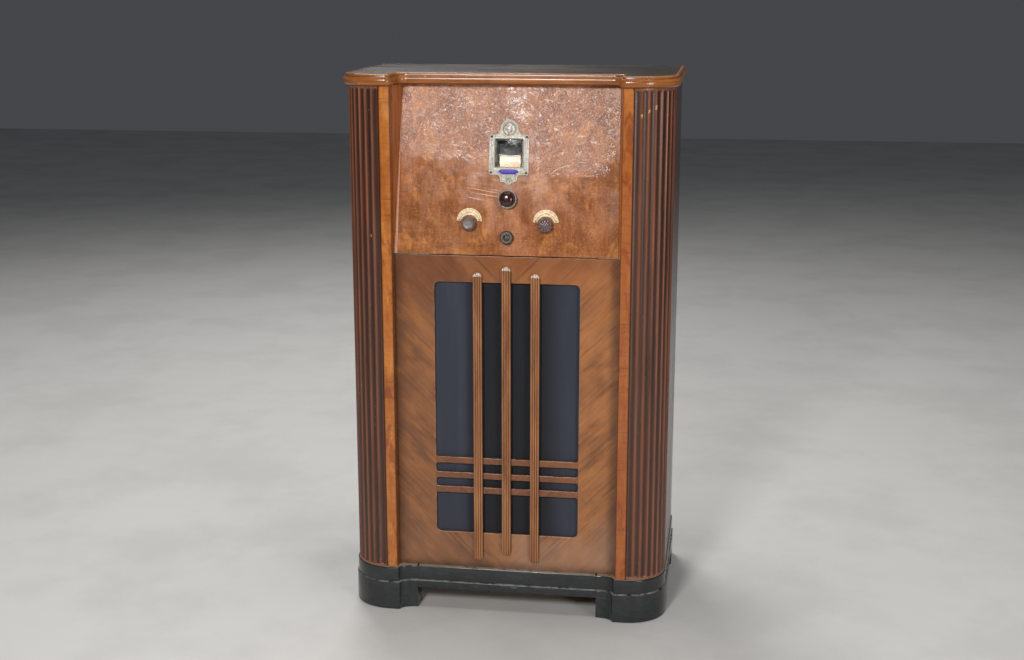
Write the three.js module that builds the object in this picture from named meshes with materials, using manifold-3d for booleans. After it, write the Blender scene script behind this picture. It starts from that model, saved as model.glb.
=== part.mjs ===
// Floor-standing console radio, about 1930s, built up as its separate wooden, metal and electrical pieces.
// Units are millimetres. X runs across the front, Y runs from front to back, Z is up.
// Cabinet pieces are laid out with y = 0 on the face of the two upright front strips, and the whole
// cabinet is then moved so that the origin is under the middle of its outline, on the floor.
import * as THREE from "three";
import { mergeVertices } from "three/addons/utils/BufferGeometryUtils.js";
import Module from "manifold-3d";

const wasm = await Module();
wasm.setup();

// ---- Driving dimensions ----
const GAP = 0.3; // clearance left between pieces that touch
const FLOOR_TO_TOP = 1020.6; // overall height
const TOP_THICK = 20.6; // top board with its nosing
const UNDER_TOP = FLOOR_TO_TOP - TOP_THICK; // underside of the top
const HALF_WIDTH = 299; // body, side panel face
const DEPTH = 366; // body, from strip face to the open back
const COLUMN_R = 70; // quarter-round corner columns
const FLUTES = 8;
const FLUTE_DEPTH = 2.4;
const STRIP_IN = 209; // inner edge of each upright strip
const STRIP_OUT = HALF_WIDTH - COLUMN_R; // outer edge, against the column
const STRIP_THICK = 21.7;
const SIDE_THICK = 13;

const NOSE = 10; // width of the moulding round the top
const TOP_BACK = 372; // back edge of the top board
const TOP_CENTRE_Y = 63; // the top steps back to here between the corner blocks
const TOP_BLOCK_IN = 213; // inner side of each block of the top board
const TOP_SWEEP = 24; // hollow sweep from each block into the set-back centre

const BASE_H = 85; // two-tier base
const TIER_Z = 55.5; // joint between its lower and upper tier
const TIER_STEP = 2; // the upper tier stands in by this much
const BASE_HALF = 303.5;
const BASE_FRONT = -5;
const BASE_R = 75; // rounded outer corners
const BLOCK_IN = 205; // inner corner of each corner block
const COVE_IN = 175; // where its cove meets the recessed centre
const BASE_CENTRE_Y = 11.5;
const FOOT_IN = 172; // inner face of each front foot
const APRON_Z = 40; // underside of the aprons between the feet
const FOOT_BACK = 110; // rear end of each front foot
const REAR_FOOT = 300; // front end of each rear foot

const PANEL_Y = 22; // face of the lower panel
const PANEL_THICK = 8;
const FOLD_Z = 694; // the lower panel ends and the raked control panel begins here
const FOLD_Y = 24;
const RAKE = Math.atan2(52, UNDER_TOP - FOLD_Z); // about 9.6 degrees back
const PANEL_BOTTOM_HALF = 203.7;
const PANEL_TOP_HALF = 199.8;
const PANEL_RISE = 309.5; // control panel height along its face

const OPEN_HALF = 135.5; // grille opening
const OPEN_Z = [155, 643];
const OPEN_R = 10;
const SLOT_R = 4.5; // smaller rounding where a slot meets a crosspiece
const CROSS_BARS = [[234, 246], [263, 274.5], [292.5, 304.5]]; // crosspieces left in the panel
const BAR_X = 53.6; // spacing of the three reeded uprights
const BAR_W = 17.2;
const REEDS = 4;

const SPEAKER_Z = 395;
const SPEAKER_HOLE = 118; // radius of the hole in the speaker board
const BOARD_Y = 31.6;
const BOARD_THICK = 12;

// Control positions on the raked panel: [x, height above the fold, knob radius, knob height]
const TUNING = { x: 0, v: 102.4, r: 17, h: 21 };
const VOLUME = { x: -70.5, v: 56.5, r: 13.5, h: 15 };
const TONE = { x: 70.5, v: 56.5, r: 14, h: 15 };
const BAND = { x: 0, v: 32.6, r: 12.8, h: 13 };
const SHAFT_R = 3.1;
const KNOB_LIFT = 1.6; // knobs stand this far off the panel

const WINDOW = { half: 25, low: 161, high: 211 }; // dial window
const DRUM = { w: 54, v: 172, r: 40, half: 18.4 }; // dial drum, on an axle across the set
const GROOVE = { r: 38.6, x: 20.6, edge: 22.6 }; // the drum's cord groove, at its right-hand end
const JEWEL_V = 230;
const JEWEL_R = 10.2; // head of the pilot jewel

const CHASSIS = { half: 150, w0: 30, w1: 215, v0: -7.6, v1: 78, sheet: 1.6 };

// ---- Finishes ----
const finish = (color, roughness, metalness = 0) => ({ color, roughness, metalness });
const GOLD_VENEER = finish(0xbf7a33, 0.32);
const WALNUT = finish(0x8f5a3a, 0.3);
const LOWER_WALNUT = finish(0x8a5a36, 0.38);
const RED_BROWN = finish(0x5e3428, 0.35);
const NOSING = finish(0xb86a38, 0.25);
const TOP_VENEER = finish(0x4a443b, 0.4);
const BLACK_LACQUER = finish(0x2c2e30, 0.45);
const RAW_WOOD = finish(0x9a7850, 0.8);
const CLOTH = finish(0x23252f, 0.95);
const NICKEL = finish(0xa89c80, 0.42, 0.8);
const PALE_GOLD = finish(0xd9c08d, 0.4, 0.6);
const BAKELITE = finish(0x2a1810, 0.25);
const STEEL = finish(0x8d8f8e, 0.45, 0.9);
const BLACK_STEEL = finish(0x1d1e20, 0.5, 0.4);
const GLASS = finish(0xcfd6d2, 0.08);
const CAN_METAL = finish(0xa7a8a4, 0.4, 0.9);

const cabinet = new THREE.Group();
const panel = new THREE.Group(); // the raked frame: x, depth behind the panel face, height up the panel
panel.position.set(0, FOLD_Y, FOLD_Z);
panel.rotation.x = -RAKE;
cabinet.add(panel);
cabinet.position.y = -(TOP_BACK - NOSE) / 2;

// ---- Helpers ----
// Turns a geometry's faces outwards and drops slivers, ready to be a solid.
function closed(geometry) {
  const g = mergeVertices(
    new THREE.BufferGeometry()
      .setAttribute("position", geometry.getAttribute("position"))
      .setIndex(geometry.index),
    1e-3,
  );
  const p = g.getAttribute("position");
  const corner = (i) => new THREE.Vector3().fromBufferAttribute(p, i);
  const faces = [];
  let volume = 0;
  for (let i = 0; i < g.index.count; i += 3) {
    const [a, b, c] = [0, 1, 2].map((k) => g.index.getX(i + k));
    if (a === b || b === c || c === a) continue;
    volume += corner(a).dot(corner(b).cross(corner(c)));
    faces.push([a, b, c]);
  }
  g.setIndex(faces.flatMap(([a, b, c]) => (volume < 0 ? [a, c, b] : [a, b, c])));
  return g;
}

function solid(geometry) {
  const g = closed(geometry);
  return new wasm.Manifold(
    new wasm.Mesh({
      numProp: 3,
      vertProperties: Float32Array.from(g.getAttribute("position").array),
      triVerts: Uint32Array.from(g.index.array),
    }),
  );
}

function geometryOf(body) {
  const m = body.getMesh();
  return new THREE.BufferGeometry()
    .setAttribute("position", new THREE.BufferAttribute(Float32Array.from(m.vertProperties), 3))
    .setIndex(new THREE.BufferAttribute(Uint32Array.from(m.triVerts), 1));
}

const cut = (from, ...tools) =>
  geometryOf(tools.reduce((s, t) => s.subtract(solid(t)), solid(from)));
const join = (...parts) => geometryOf(parts.slice(1).reduce((s, t) => s.add(solid(t)), solid(parts[0])));
const common = (a, b) => geometryOf(solid(a).intersect(solid(b)));

function piece(name, geometry, look, parent = cabinet) {
  const mesh = new THREE.Mesh(closed(geometry), new THREE.MeshStandardMaterial(look));
  mesh.geometry.computeVertexNormals();
  mesh.name = name;
  parent.add(mesh);
  return mesh;
}

const block = (x0, x1, y0, y1, z0, z1) =>
  new THREE.BoxGeometry(x1 - x0, y1 - y0, z1 - z0).translate((x0 + x1) / 2, (y0 + y1) / 2, (z0 + z1) / 2);

const outline = (points) => new THREE.Shape(points.map(([a, b]) => new THREE.Vector2(a, b)));

// Extrusions of an outline: a plan raised in Z, a front view run back in Y, a side view run across in X.
const raise = (shape, z0, z1) =>
  new THREE.ExtrudeGeometry(shape, { depth: z1 - z0, bevelEnabled: false }).translate(0, 0, z0);
const runBack = (shape, y0, y1) =>
  new THREE.ExtrudeGeometry(shape, { depth: y1 - y0, bevelEnabled: false })
    .rotateX(Math.PI / 2)
    .translate(0, y1, 0);
const runAcross = (shape, x0, x1) =>
  new THREE.ExtrudeGeometry(shape, { depth: x1 - x0, bevelEnabled: false })
    .applyMatrix4(
      new THREE.Matrix4().makeBasis(
        new THREE.Vector3(0, 1, 0),
        new THREE.Vector3(0, 0, 1),
        new THREE.Vector3(1, 0, 0),
      ),
    )
    .translate(x0, 0, 0);

// Points of an arc about (cx, cy), both ends included.
function arc(cx, cy, rx, from, to, steps, ry = rx) {
  return Array.from({ length: steps + 1 }, (_, i) => {
    const t = THREE.MathUtils.degToRad(from + ((to - from) * i) / steps);
    return [cx + rx * Math.cos(t), cy + ry * Math.sin(t)];
  });
}

const mirrored = (points) => points.map(([x, y]) => [-x, y]).reverse();

// A turned piece. Profile points are [radius, distance along the axis].
const turned = (profile, segments) =>
  new THREE.LatheGeometry(profile.map(([r, h]) => new THREE.Vector2(r, h)), segments);
// Its axis points out of the panel front (towards -Y), upwards, or to the right.
const facing = (profile, segments, x, y, z) =>
  turned(profile, segments).rotateX(Math.PI).translate(x, y, z);
const standing = (profile, segments, x, y, z) =>
  turned(profile, segments).rotateX(Math.PI / 2).translate(x, y, z);
const across = (profile, segments, x, y, z) =>
  turned(profile, segments).rotateZ(-Math.PI / 2).translate(x, y, z);

const rod = (r, from, to) => [[0, from], [r, from], [r, to], [0, to]];

// A moulding: a closed [outward, up] section swept along a plan path with mitred corners.
function moulding(path, section) {
  const at = path.map(([x, y], i) => {
    const [px, py] = path[Math.max(i - 1, 0)];
    const [nx, ny] = path[Math.min(i + 1, path.length - 1)];
    const before = new THREE.Vector2(x - px, y - py).normalize();
    const after = new THREE.Vector2(nx - x, ny - y).normalize();
    if (i === 0) before.copy(after);
    if (i === path.length - 1) after.copy(before);
    const out = new THREE.Vector2(before.y + after.y, -before.x - after.x).normalize();
    return { x, y, out, stretch: 1 / out.dot(new THREE.Vector2(before.y, -before.x)) };
  });
  const n = section.length;
  const position = at.flatMap((p) =>
    section.flatMap(([u, z]) => [p.x + p.out.x * u * p.stretch, p.y + p.out.y * u * p.stretch, z]),
  );
  const index = [];
  for (let i = 0; i + 1 < at.length; i++)
    for (let k = 0; k < n; k++) {
      const a = i * n + k;
      const b = i * n + ((k + 1) % n);
      index.push(a, b, a + n, b, b + n, a + n);
    }
  const caps = THREE.ShapeUtils.triangulateShape(outline(section).getPoints(), []);
  const last = (at.length - 1) * n;
  for (const [a, b, c] of caps) index.push(a, c, b, last + a, last + b, last + c);
  return new THREE.BufferGeometry()
    .setAttribute("position", new THREE.Float32BufferAttribute(position, 3))
    .setIndex(index);
}

// ---- Base ----
// Plan of a left corner block: rounded corner, flat front, cove back to the recessed centre.
function cornerPlan(inset) {
  const front = BASE_FRONT + inset;
  const side = -BASE_HALF + inset;
  const r = BASE_R - inset;
  return [
    [side, FOOT_BACK - GAP],
    ...arc(side + r, front + r, r, 180, 270, 12),
    [-BLOCK_IN - inset, front],
    ...arc(-COVE_IN, front, BLOCK_IN - COVE_IN + inset, 180, 90, 6, BASE_CENTRE_Y - BASE_FRONT).slice(1),
    [-FOOT_IN - GAP, BASE_CENTRE_Y + inset],
    [-FOOT_IN - GAP, 46],
    [-BASE_HALF + 44, FOOT_BACK - GAP],
  ];
}
for (const [name, hand] of [["left", 1], ["right", -1]]) {
  const plan = (inset) => outline(hand > 0 ? cornerPlan(inset) : mirrored(cornerPlan(inset)));
  piece(
    `base_corner_${name}`,
    join(raise(plan(0), 0, TIER_Z), raise(plan(TIER_STEP), TIER_Z - 1, BASE_H)),
    BLACK_LACQUER,
  );
  // Side of the base: the lower tier is cut away between the feet.
  const low = outline([
    [FOOT_BACK, APRON_Z],
    ...arc(REAR_FOOT - 12, APRON_Z - 12, 12, 90, 0, 4),
    [REAR_FOOT, 0],
    [DEPTH, 0],
    [DEPTH, TIER_Z],
    [FOOT_BACK, TIER_Z],
  ]);
  const faces = (outer, inner) => [-hand * outer, -hand * inner].sort((a, b) => a - b);
  piece(
    `base_side_${name}`,
    join(
      runAcross(low, ...faces(BASE_HALF, BASE_HALF - 26)),
      block(...faces(BASE_HALF - TIER_STEP, BASE_HALF - 30), FOOT_BACK, DEPTH, TIER_Z - 1, BASE_H),
    ),
    BLACK_LACQUER,
  );
}
piece(
  "base_front",
  join(
    block(-FOOT_IN, FOOT_IN, BASE_CENTRE_Y, 32, APRON_Z, TIER_Z),
    block(-FOOT_IN, FOOT_IN, BASE_CENTRE_Y + TIER_STEP, 40, TIER_Z - 1, BASE_H),
  ),
  BLACK_LACQUER,
);
piece("base_rear_rail", block(-272, 272, DEPTH - 22, DEPTH - 2, APRON_Z, BASE_H), RAW_WOOD);

// ---- Cabinet body ----
const FOOT_OF_BODY = BASE_H + GAP;
const HEAD_OF_BODY = UNDER_TOP - GAP;
const columnPlan = [
  ...Array.from({ length: FLUTES * 5 + 1 }, (_, i) => {
    const turn = (i / (FLUTES * 5)) * 90;
    const r = COLUMN_R - FLUTE_DEPTH * Math.abs(Math.sin(((i % 5) / 5) * Math.PI));
    return arc(-STRIP_OUT, COLUMN_R, r, 270 - turn, 270 - turn, 1)[0];
  }),
  [-STRIP_OUT - 42, COLUMN_R],
  [-STRIP_OUT, 27],
];
const stripPlan = [
  [-STRIP_OUT + GAP, 0],
  ...arc(-STRIP_IN - 2.5, 2.5, 2.5, -90, 0, 4),
  [-STRIP_IN, STRIP_THICK],
  [-STRIP_OUT + GAP, STRIP_THICK],
];
// The splayed cheek fills the wedge between the strip and the raked panel: its plan grows with height.
function cheek(hand) {
  const plan = (half, y) => [
    [217, PANEL_Y],
    [217, y + 16],
    [half + 0.5, y + 16],
    [half + 0.5, y + 0.3],
    [STRIP_IN, PANEL_Y],
  ];
  const rings = [
    [plan(PANEL_BOTTOM_HALF, FOLD_Y), FOLD_Z],
    [plan(PANEL_TOP_HALF, FOLD_Y + 52), HEAD_OF_BODY],
  ];
  const position = rings.flatMap(([points, z]) => points.flatMap(([x, y]) => [x * hand, y, z]));
  const n = 5;
  const index = [];
  for (let k = 0; k < n; k++) index.push(k, (k + 1) % n, k + n, (k + 1) % n, ((k + 1) % n) + n, k + n);
  for (const [a, b, c] of THREE.ShapeUtils.triangulateShape(outline(rings[0][0]).getPoints(), []))
    index.push(a, c, b, n + a, n + b, n + c);
  return new THREE.BufferGeometry()
    .setAttribute("position", new THREE.Float32BufferAttribute(position, 3))
    .setIndex(index);
}
for (const [name, hand] of [["left", -1], ["right", 1]]) {
  const plan = (points) => outline(hand < 0 ? points : mirrored(points));
  piece(`${name}_column`, raise(plan(columnPlan), FOOT_OF_BODY, HEAD_OF_BODY), RED_BROWN);
  piece(`${name}_strip`, raise(plan(stripPlan), FOOT_OF_BODY, HEAD_OF_BODY), GOLD_VENEER);
  piece(`${name}_cheek`, cheek(hand), NOSING);
  const faces = [hand * HALF_WIDTH, hand * (HALF_WIDTH - SIDE_THICK)].sort((a, b) => a - b);
  piece(
    `${name}_side_panel`,
    block(...faces, COLUMN_R + GAP, DEPTH, FOOT_OF_BODY, HEAD_OF_BODY),
    RED_BROWN,
  );
}
const INSIDE = HALF_WIDTH - SIDE_THICK - GAP;
const halfFloor = [
  [-INSIDE, DEPTH - 4],
  [-INSIDE, COLUMN_R + 4.5],
  [-STRIP_OUT - 44, COLUMN_R + 4.5],
  [-STRIP_OUT - 0.5, 31],
];
const floorPlan = outline([...halfFloor, ...mirrored(halfFloor)]);
piece("bottom_board", raise(floorPlan, FOOT_OF_BODY, BASE_H + 12), RAW_WOOD);

// ---- Top ----
const boardHalf = HALF_WIDTH - 1;
const boardR = COLUMN_R - 1;
const sweepX = -TOP_BLOCK_IN + TOP_SWEEP;
// Left part of the board's edge, from the side round the corner block to the set-back centre.
const boardEdge = (s) => [
  ...arc(-boardHalf + boardR, boardR, boardR + s, 180, 270, 10),
  ...arc(-TOP_BLOCK_IN - 3, 3, 3 + s, 270, 360, 3),
  ...arc(sweepX, TOP_CENTRE_Y - TOP_SWEEP, TOP_SWEEP - s, 180, 90, 6),
];
piece(
  "top_board",
  raise(
    outline([
      [-boardHalf + GAP, TOP_BACK],
      ...boardEdge(-GAP),
      ...mirrored(boardEdge(-GAP)),
      [boardHalf - GAP, TOP_BACK],
    ]),
    UNDER_TOP,
    FLOOR_TO_TOP - 0.6,
  ),
  TOP_VENEER,
);
// Rounded nosing section, fuller above than below.
const nosingSection = [
  [0, UNDER_TOP],
  ...arc(NOSE - 7, UNDER_TOP + 6, 7, -90, 0, 4, 6),
  ...arc(NOSE - 8, FLOOR_TO_TOP - 9, 8, 0, 90, 5, 9),
  [0, FLOOR_TO_TOP],
];
const seamX = sweepX + 2; // joint between the corner nosings and the straight one
const nosingPath = [[-boardHalf, TOP_BACK], ...boardEdge(0), [seamX, TOP_CENTRE_Y]];
piece("nosing_left", moulding(nosingPath, nosingSection), NOSING);
piece("nosing_right", moulding(mirrored(nosingPath), nosingSection), NOSING);
const centreNose = [[seamX + GAP, TOP_CENTRE_Y], [-seamX - GAP, TOP_CENTRE_Y]];
piece("nosing_center", moulding(centreNose, nosingSection), NOSING);

// ---- Lower front panel, grille and speaker board ----
const frontShape = outline([
  [-STRIP_OUT + 3, FOOT_OF_BODY],
  [STRIP_OUT - 3, FOOT_OF_BODY],
  [STRIP_OUT - 3, FOLD_Z - 1.8],
  [-STRIP_OUT + 3, FOLD_Z - 1.8],
]);
// A hole with its own radius at the low and at the high corners.
function roundedHole(e, low, high, rLow, rHigh) {
  return outline([
    ...arc(-e + rLow, low + rLow, rLow, 180, 270, 4),
    ...arc(e - rLow, low + rLow, rLow, 270, 360, 4),
    ...arc(e - rHigh, high - rHigh, rHigh, 0, 90, 4),
    ...arc(-e + rHigh, high - rHigh, rHigh, 90, 180, 4),
  ]);
}
const levels = [OPEN_Z[0], ...CROSS_BARS.flat(), OPEN_Z[1]];
for (let i = 0; i < levels.length; i += 2) {
  const [low, high] = [levels[i], levels[i + 1]];
  const rLow = low === OPEN_Z[0] ? OPEN_R : SLOT_R;
  const rHigh = high === OPEN_Z[1] ? OPEN_R : SLOT_R;
  frontShape.holes.push(roundedHole(OPEN_HALF, low, high, rLow, rHigh));
}
piece("front_panel", runBack(frontShape, PANEL_Y, PANEL_Y + PANEL_THICK), LOWER_WALNUT);

// Reeded uprights: four half-round reeds, rounded at both ends.
const reedPlan = (x) => {
  const r = BAR_W / REEDS / 2;
  const back = PANEL_Y - GAP;
  const reeds = Array.from({ length: REEDS }, (_, i) =>
    arc(x - BAR_W / 2 + r * (2 * i + 1), back - 5.5, r, 180, 360, 4).slice(i ? 1 : 0),
  ).flat();
  return outline([[x - BAR_W / 2, back], ...reeds, [x + BAR_W / 2, back]]);
};
for (const [name, x, z0, z1] of [
  ["left", -BAR_X, 102, 662],
  ["center", 0, 114, 674],
  ["right", BAR_X, 102, 662],
]) {
  const end = BAR_W / 2;
  const face = outline([
    ...arc(x, z1 - end, end + 0.02, 0, 180, 8),
    ...arc(x, z0 + end, end + 0.02, 180, 360, 8),
  ]);
  piece(
    `grille_bar_${name}`,
    common(raise(reedPlan(x), z0, z1), runBack(face, PANEL_Y - 12, PANEL_Y + 2)),
    GOLD_VENEER,
  );
}
piece("grille_cloth", block(-150, 150, 30.3, 31.3, OPEN_Z[0] - 14, OPEN_Z[1] + 14), CLOTH);
const boardShape = outline([[-180, 112], [180, 112], [180, 660], [-180, 660]]);
boardShape.holes.push(outline(arc(0, SPEAKER_Z, SPEAKER_HOLE, 0, 348.75, 31)));
piece("speaker_board", runBack(boardShape, BOARD_Y, BOARD_Y + BOARD_THICK), RAW_WOOD);

// ---- Loudspeaker ----
const speakerAt = BOARD_Y + BOARD_THICK + GAP;
// Distances along the speaker axis run backwards from the board.
const speakerPart = (profile, segments) => turned(profile, segments).translate(0, speakerAt, SPEAKER_Z);
const basket = speakerPart(
  [[116, 0], [134, 0], [134, 2], [121, 2.5], [119, 12], [62, 62], [52, 64], [52, 66], [22.5, 66], [22.5, 63],
    [50, 62], [59, 59.5], [116, 10], [116, 0]],
  32,
);
const windows = [0, 1, 2, 3].map((i) =>
  block(-24, 24, speakerAt + 16, speakerAt + 54, 40, 140)
    .rotateY((i * Math.PI) / 2 + Math.PI / 4)
    .translate(0, 0, SPEAKER_Z),
);
piece("speaker_frame", cut(basket, ...windows), BLACK_STEEL);
piece(
  "speaker_cone",
  speakerPart(
    [[113, 3.6], [113, 4.8], [106, 4.8], [26, 56], [20, 57], [20, 84], [18.8, 84], [18.8, 60], [18.8, 50],
      [12, 46], [0, 44.5], [0, 43.3], [13, 44.6], [19, 48], [24, 54.6], [103, 3.6], [113, 3.6]],
    32,
  ),
  finish(0x4a4238, 0.95),
);
piece(
  "field_coil",
  speakerPart(
    [[0, 128], [44, 128], [50, 124], [50, 66.6], [22.4, 66.6], [22.4, 92], [16.5, 92], [16.5, 68], [0, 68]],
    28,
  ),
  BLACK_STEEL,
);
piece(
  "output_transformer",
  join(
    block(122, 172, speakerAt + 2, speakerAt + 46, 232, 276),
    block(112, 182, speakerAt, speakerAt + 3, 240, 268),
    block(127, 167, speakerAt + 1, speakerAt + 38, 224, 284),
  ),
  BLACK_STEEL,
);

// ---- Control panel ----
const controls = [TUNING, VOLUME, TONE, BAND];
const faceShape = outline([
  [-PANEL_BOTTOM_HALF, 0],
  [PANEL_BOTTOM_HALF, 0],
  [PANEL_TOP_HALF, PANEL_RISE],
  [-PANEL_TOP_HALF, PANEL_RISE],
]);
for (const { x, v } of controls) faceShape.holes.push(outline(arc(x, v, 5, 0, 330, 11)));
const windowHole = (grow) =>
  outline([
    [-WINDOW.half - grow, WINDOW.low - grow],
    [WINDOW.half + grow, WINDOW.low - grow],
    [WINDOW.half + grow, WINDOW.high + grow],
    [-WINDOW.half - grow, WINDOW.high + grow],
  ]);
faceShape.holes.push(windowHole(1), outline(arc(0, JEWEL_V, 9, 0, 337.5, 15)));
piece("control_panel", runBack(faceShape, 0, PANEL_THICK), WALNUT, panel);

// Escutcheon: eared plate, chamfered arch over the jewel, lobed foot with a point.
const halfPlate = [
  ...arc(32.4, 215.4, 4.2, 0, 120, 6),
  [26, 219.4], [21, 221.6], [17.6, 226], [16.6, 231], [16.6, 236.5], [6.4, 246.6], [3, JEWEL_V + 17.4],
];
const halfFoot = [
  [0, 127.6], [3.4, 129], [6.2, 132.4], [8.4, 133.2], [14.6, 133.8], [16.4, 137], [15.4, 141.4],
  [19.4, 146.6], [35, 146.6], [36.6, 148.4],
];
const plate = outline([...halfPlate, ...mirrored(halfPlate), ...mirrored(halfFoot), ...halfFoot.slice(1)]);
plate.holes.push(windowHole(0), outline(arc(0, JEWEL_V, JEWEL_R + 0.4, 0, 342, 19)));
const ribs = [-34.5, -31.5, -28.5, 28.5, 31.5, 34.5].map((x) =>
  raise(outline(arc(x, -2.4, 1.35, 0, 300, 5)), 154.4, 211),
);
const pins = [[-32.4, 215.4], [32.4, 215.4], [-32.4, 150.4], [32.4, 150.4]];
const frame = runBack(windowHole(2.4), -4.2, -1.5);
const bezelIn = JEWEL_R + 0.4;
const bezelRing = [[bezelIn, -1], [13, -1], [13, 1.4], [12.4, 2.2], [11.4, 2.2], [bezelIn, 1.2]];
const bezel = facing([...bezelRing, bezelRing[0]], 20, 0, -1.4, JEWEL_V);
piece(
  "escutcheon",
  cut(
    join(
      runBack(plate, -2.6, -GAP),
      frame,
      bezel,
      ...ribs,
      ...pins.map(([x, v]) => facing([[0, -1], [2, -1], [1.6, 1], [0, 1.6]], 8, x, -2.6, v)),
    ),
    runBack(windowHole(0), -6, 2),
  ),
  NICKEL,
  panel,
);
piece(
  "pilot_jewel",
  facing(
    [[0, -6], [7.6, -6], [7.6, 0.6], [JEWEL_R, 0.6], [JEWEL_R, 2], [7.6, 3.6], [4, 4.6], [0, 5]],
    20,
    0,
    0,
    JEWEL_V,
  ),
  finish(0x6e2a12, 0.12),
  panel,
);
piece("dial_glass", runBack(windowHole(0.6), 0.4, 1.8), GLASS, panel);
const lozenge = [[-19, 152.3], [-13, 156.6], [13, 156.6], [19, 152.3], [13, 148], [-13, 148]];
piece(
  "badge",
  runBack(outline(lozenge), -4.4, -2.9),
  finish(0x1b2c66, 0.15),
  panel,
);
for (const { name, x, v } of [{ name: "left", ...VOLUME }, { name: "right", ...TONE }])
  piece(
    `${name}_scale_plate`,
    runBack(
      outline([...arc(x, v + 5.4, 23.3, 0, 180, 14), ...arc(x, v, 16.2, 160.5, 19.5, 10)]),
      -1.1,
      -GAP,
    ),
    PALE_GOLD,
    panel,
  );

// Curved shade over the upper part of the drum: a fixing tab behind the panel and a cheek at each end.
const shadeArc = (r, from, to) => arc(DRUM.w, DRUM.v, r, 180 - from, 180 - to, 8);
const cheekSide = outline([[3, 161.6], [24, 161.6], [24, 190], [12, 210], [3, 210]]);
const shadeCheek = (x) => runAcross(cheekSide, x, x + 1);
piece(
  "dial_shade",
  join(
    runAcross(
      outline([
        ...shadeArc(DRUM.r + 2, 14, 62),
        [10.6, 219], [10.6, 227], [PANEL_THICK + GAP, 227], [PANEL_THICK + GAP, 217],
        ...shadeArc(DRUM.r + 3.4, 60, 14),
      ]),
      -24,
      24,
    ),
    shadeCheek(-24),
    shadeCheek(23),
  ),
  finish(0x101010, 0.4),
  panel,
);

// ---- Knobs, shafts and the controls they turn ----
// A knob is turned about its shaft: [radius, height off its own back face], with a blind bore for the shaft.
const BORE = [[0, 8], [SHAFT_R + GAP, 8], [SHAFT_R + GAP, 0]];
const knobs = {
  tuning: [[13, 0], [15, 3], [17, 4], [17, 8.5], [15.6, 10], [15.4, 13], [13.5, 16.5], [9, 19.4], [0, 21]],
  volume: [[12, 0], [13.5, 1.5], [13.2, 9], [11.8, 13], [9.6, 15], [0, 15]],
  tone: [[12.6, 0], [14, 1.5], [13.6, 10], [11.6, 14], [8, 15], [0, 15]],
  band: [[11.4, 0], [12.8, 1.4], [12.8, 5], [10.8, 7], [10.8, 9], [7, 10], [7, 11.4], [3, 11.6], [0, 13]],
};
function knob(name, { x, v }, segments) {
  return facing([...BORE, ...knobs[name], [0, 8]].slice(0, -1), segments, x, -KNOB_LIFT, v);
}
piece("tuning_knob", knob("tuning", TUNING, 28), BAKELITE, panel);
piece("volume_knob", knob("volume", VOLUME, 20), BAKELITE, panel);
const grooves = Array.from({ length: 10 }, (_, i) => {
  const t = (i / 10) * 2 * Math.PI;
  return facing(rod(2.2, 2.5, 18), 8, TONE.x + 15 * Math.cos(t), -KNOB_LIFT, TONE.v + 15 * Math.sin(t));
});
piece("tone_knob", cut(knob("tone", TONE, 20), ...grooves), BAKELITE, panel);
piece("band_knob", knob("band", BAND, 24), BAKELITE, panel);

const SPINDLE = { w: 54, r: 6.8, half: 5 }; // grooved drum on the tuning shaft that the cord wraps
const shaft = (x, v, back, ...more) =>
  facing([[0, -back], [SHAFT_R, -back], ...more, [SHAFT_R, KNOB_LIFT + 7], [0, KNOB_LIFT + 7]], 12, x, 0, v);
piece(
  "tuning_shaft",
  shaft(TUNING.x, TUNING.v, 84, [SHAFT_R, -62], [SPINDLE.r, -60], [SPINDLE.r, -48], [SHAFT_R, -46]),
  STEEL,
  panel,
);
for (const [name, c] of [["volume", VOLUME], ["tone", TONE], ["band", BAND]])
  piece(`${name}_shaft`, shaft(c.x, c.v, 52), STEEL, panel);

// Control bodies sit behind the chassis front, each with a through bore for its shaft.
const control = (x, v, r, length) => {
  const w = CHASSIS.w0 + CHASSIS.sheet + GAP;
  const b = SHAFT_R + GAP;
  return facing([[b, -length], [r, -length], [r, 0], [b, 0], [b, -length]], 16, x, w, v);
};
piece("volume_control", control(VOLUME.x, VOLUME.v, 14, 18), BLACK_STEEL, panel);
piece("tone_control", control(TONE.x, TONE.v, 14, 18), BLACK_STEEL, panel);
piece("band_switch", control(BAND.x, BAND.v, 19, 12), finish(0x7a5a34, 0.6), panel);

// ---- Chassis shelf and chassis ----
const shelfPlan = outline([
  [-STRIP_OUT + 2, 14], [STRIP_OUT - 2, 14], [STRIP_OUT - 2, 54], [INSIDE, 54],
  [INSIDE, 262], [-INSIDE, 262], [-INSIDE, 54], [-STRIP_OUT + 2, 54],
]);
piece(
  "chassis_shelf",
  join(
    raise(shelfPlan, -22, -8),
    block(-INSIDE, -INSIDE + 18, 58, 255, -48, -21),
    block(INSIDE - 18, INSIDE, 58, 255, -48, -21),
  ),
  RAW_WOOD,
  panel,
);
const { half, w0, w1, v0, v1, sheet } = CHASSIS;
const apronHole = ({ x, v }) => facing(rod(5, -6, 6), 12, x, w0, v);
piece(
  "chassis",
  cut(
    block(-half, half, w0, w1, v0, v1),
    block(-half + sheet, half - sheet, w0 + sheet, w1 - sheet, v0 - 2, v1 - sheet),
    apronHole(VOLUME),
    apronHole(TONE),
    apronHole(BAND),
    facing(rod(7, -6, 6), 12, -110, w1, 30),
    facing(rod(4.4, -6, 6), 12, 120, w1, 34),
  ),
  STEEL,
  panel,
);
// Rubber grommet where a mains lead would pass out of the chassis.
const groove = [[6.7, -GAP], [6.7, sheet + GAP]];
const rim = [[9.5, -4], [9.5, -GAP], ...groove, [9.5, sheet + GAP], [9.5, 4.5]];
const grommet = [[4, -4], ...rim, [4, 4.5], [4, -4]];
piece("mains_grommet", facing(grommet, 14, -110, w1, 30), finish(0x151515, 0.85), panel);

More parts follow.
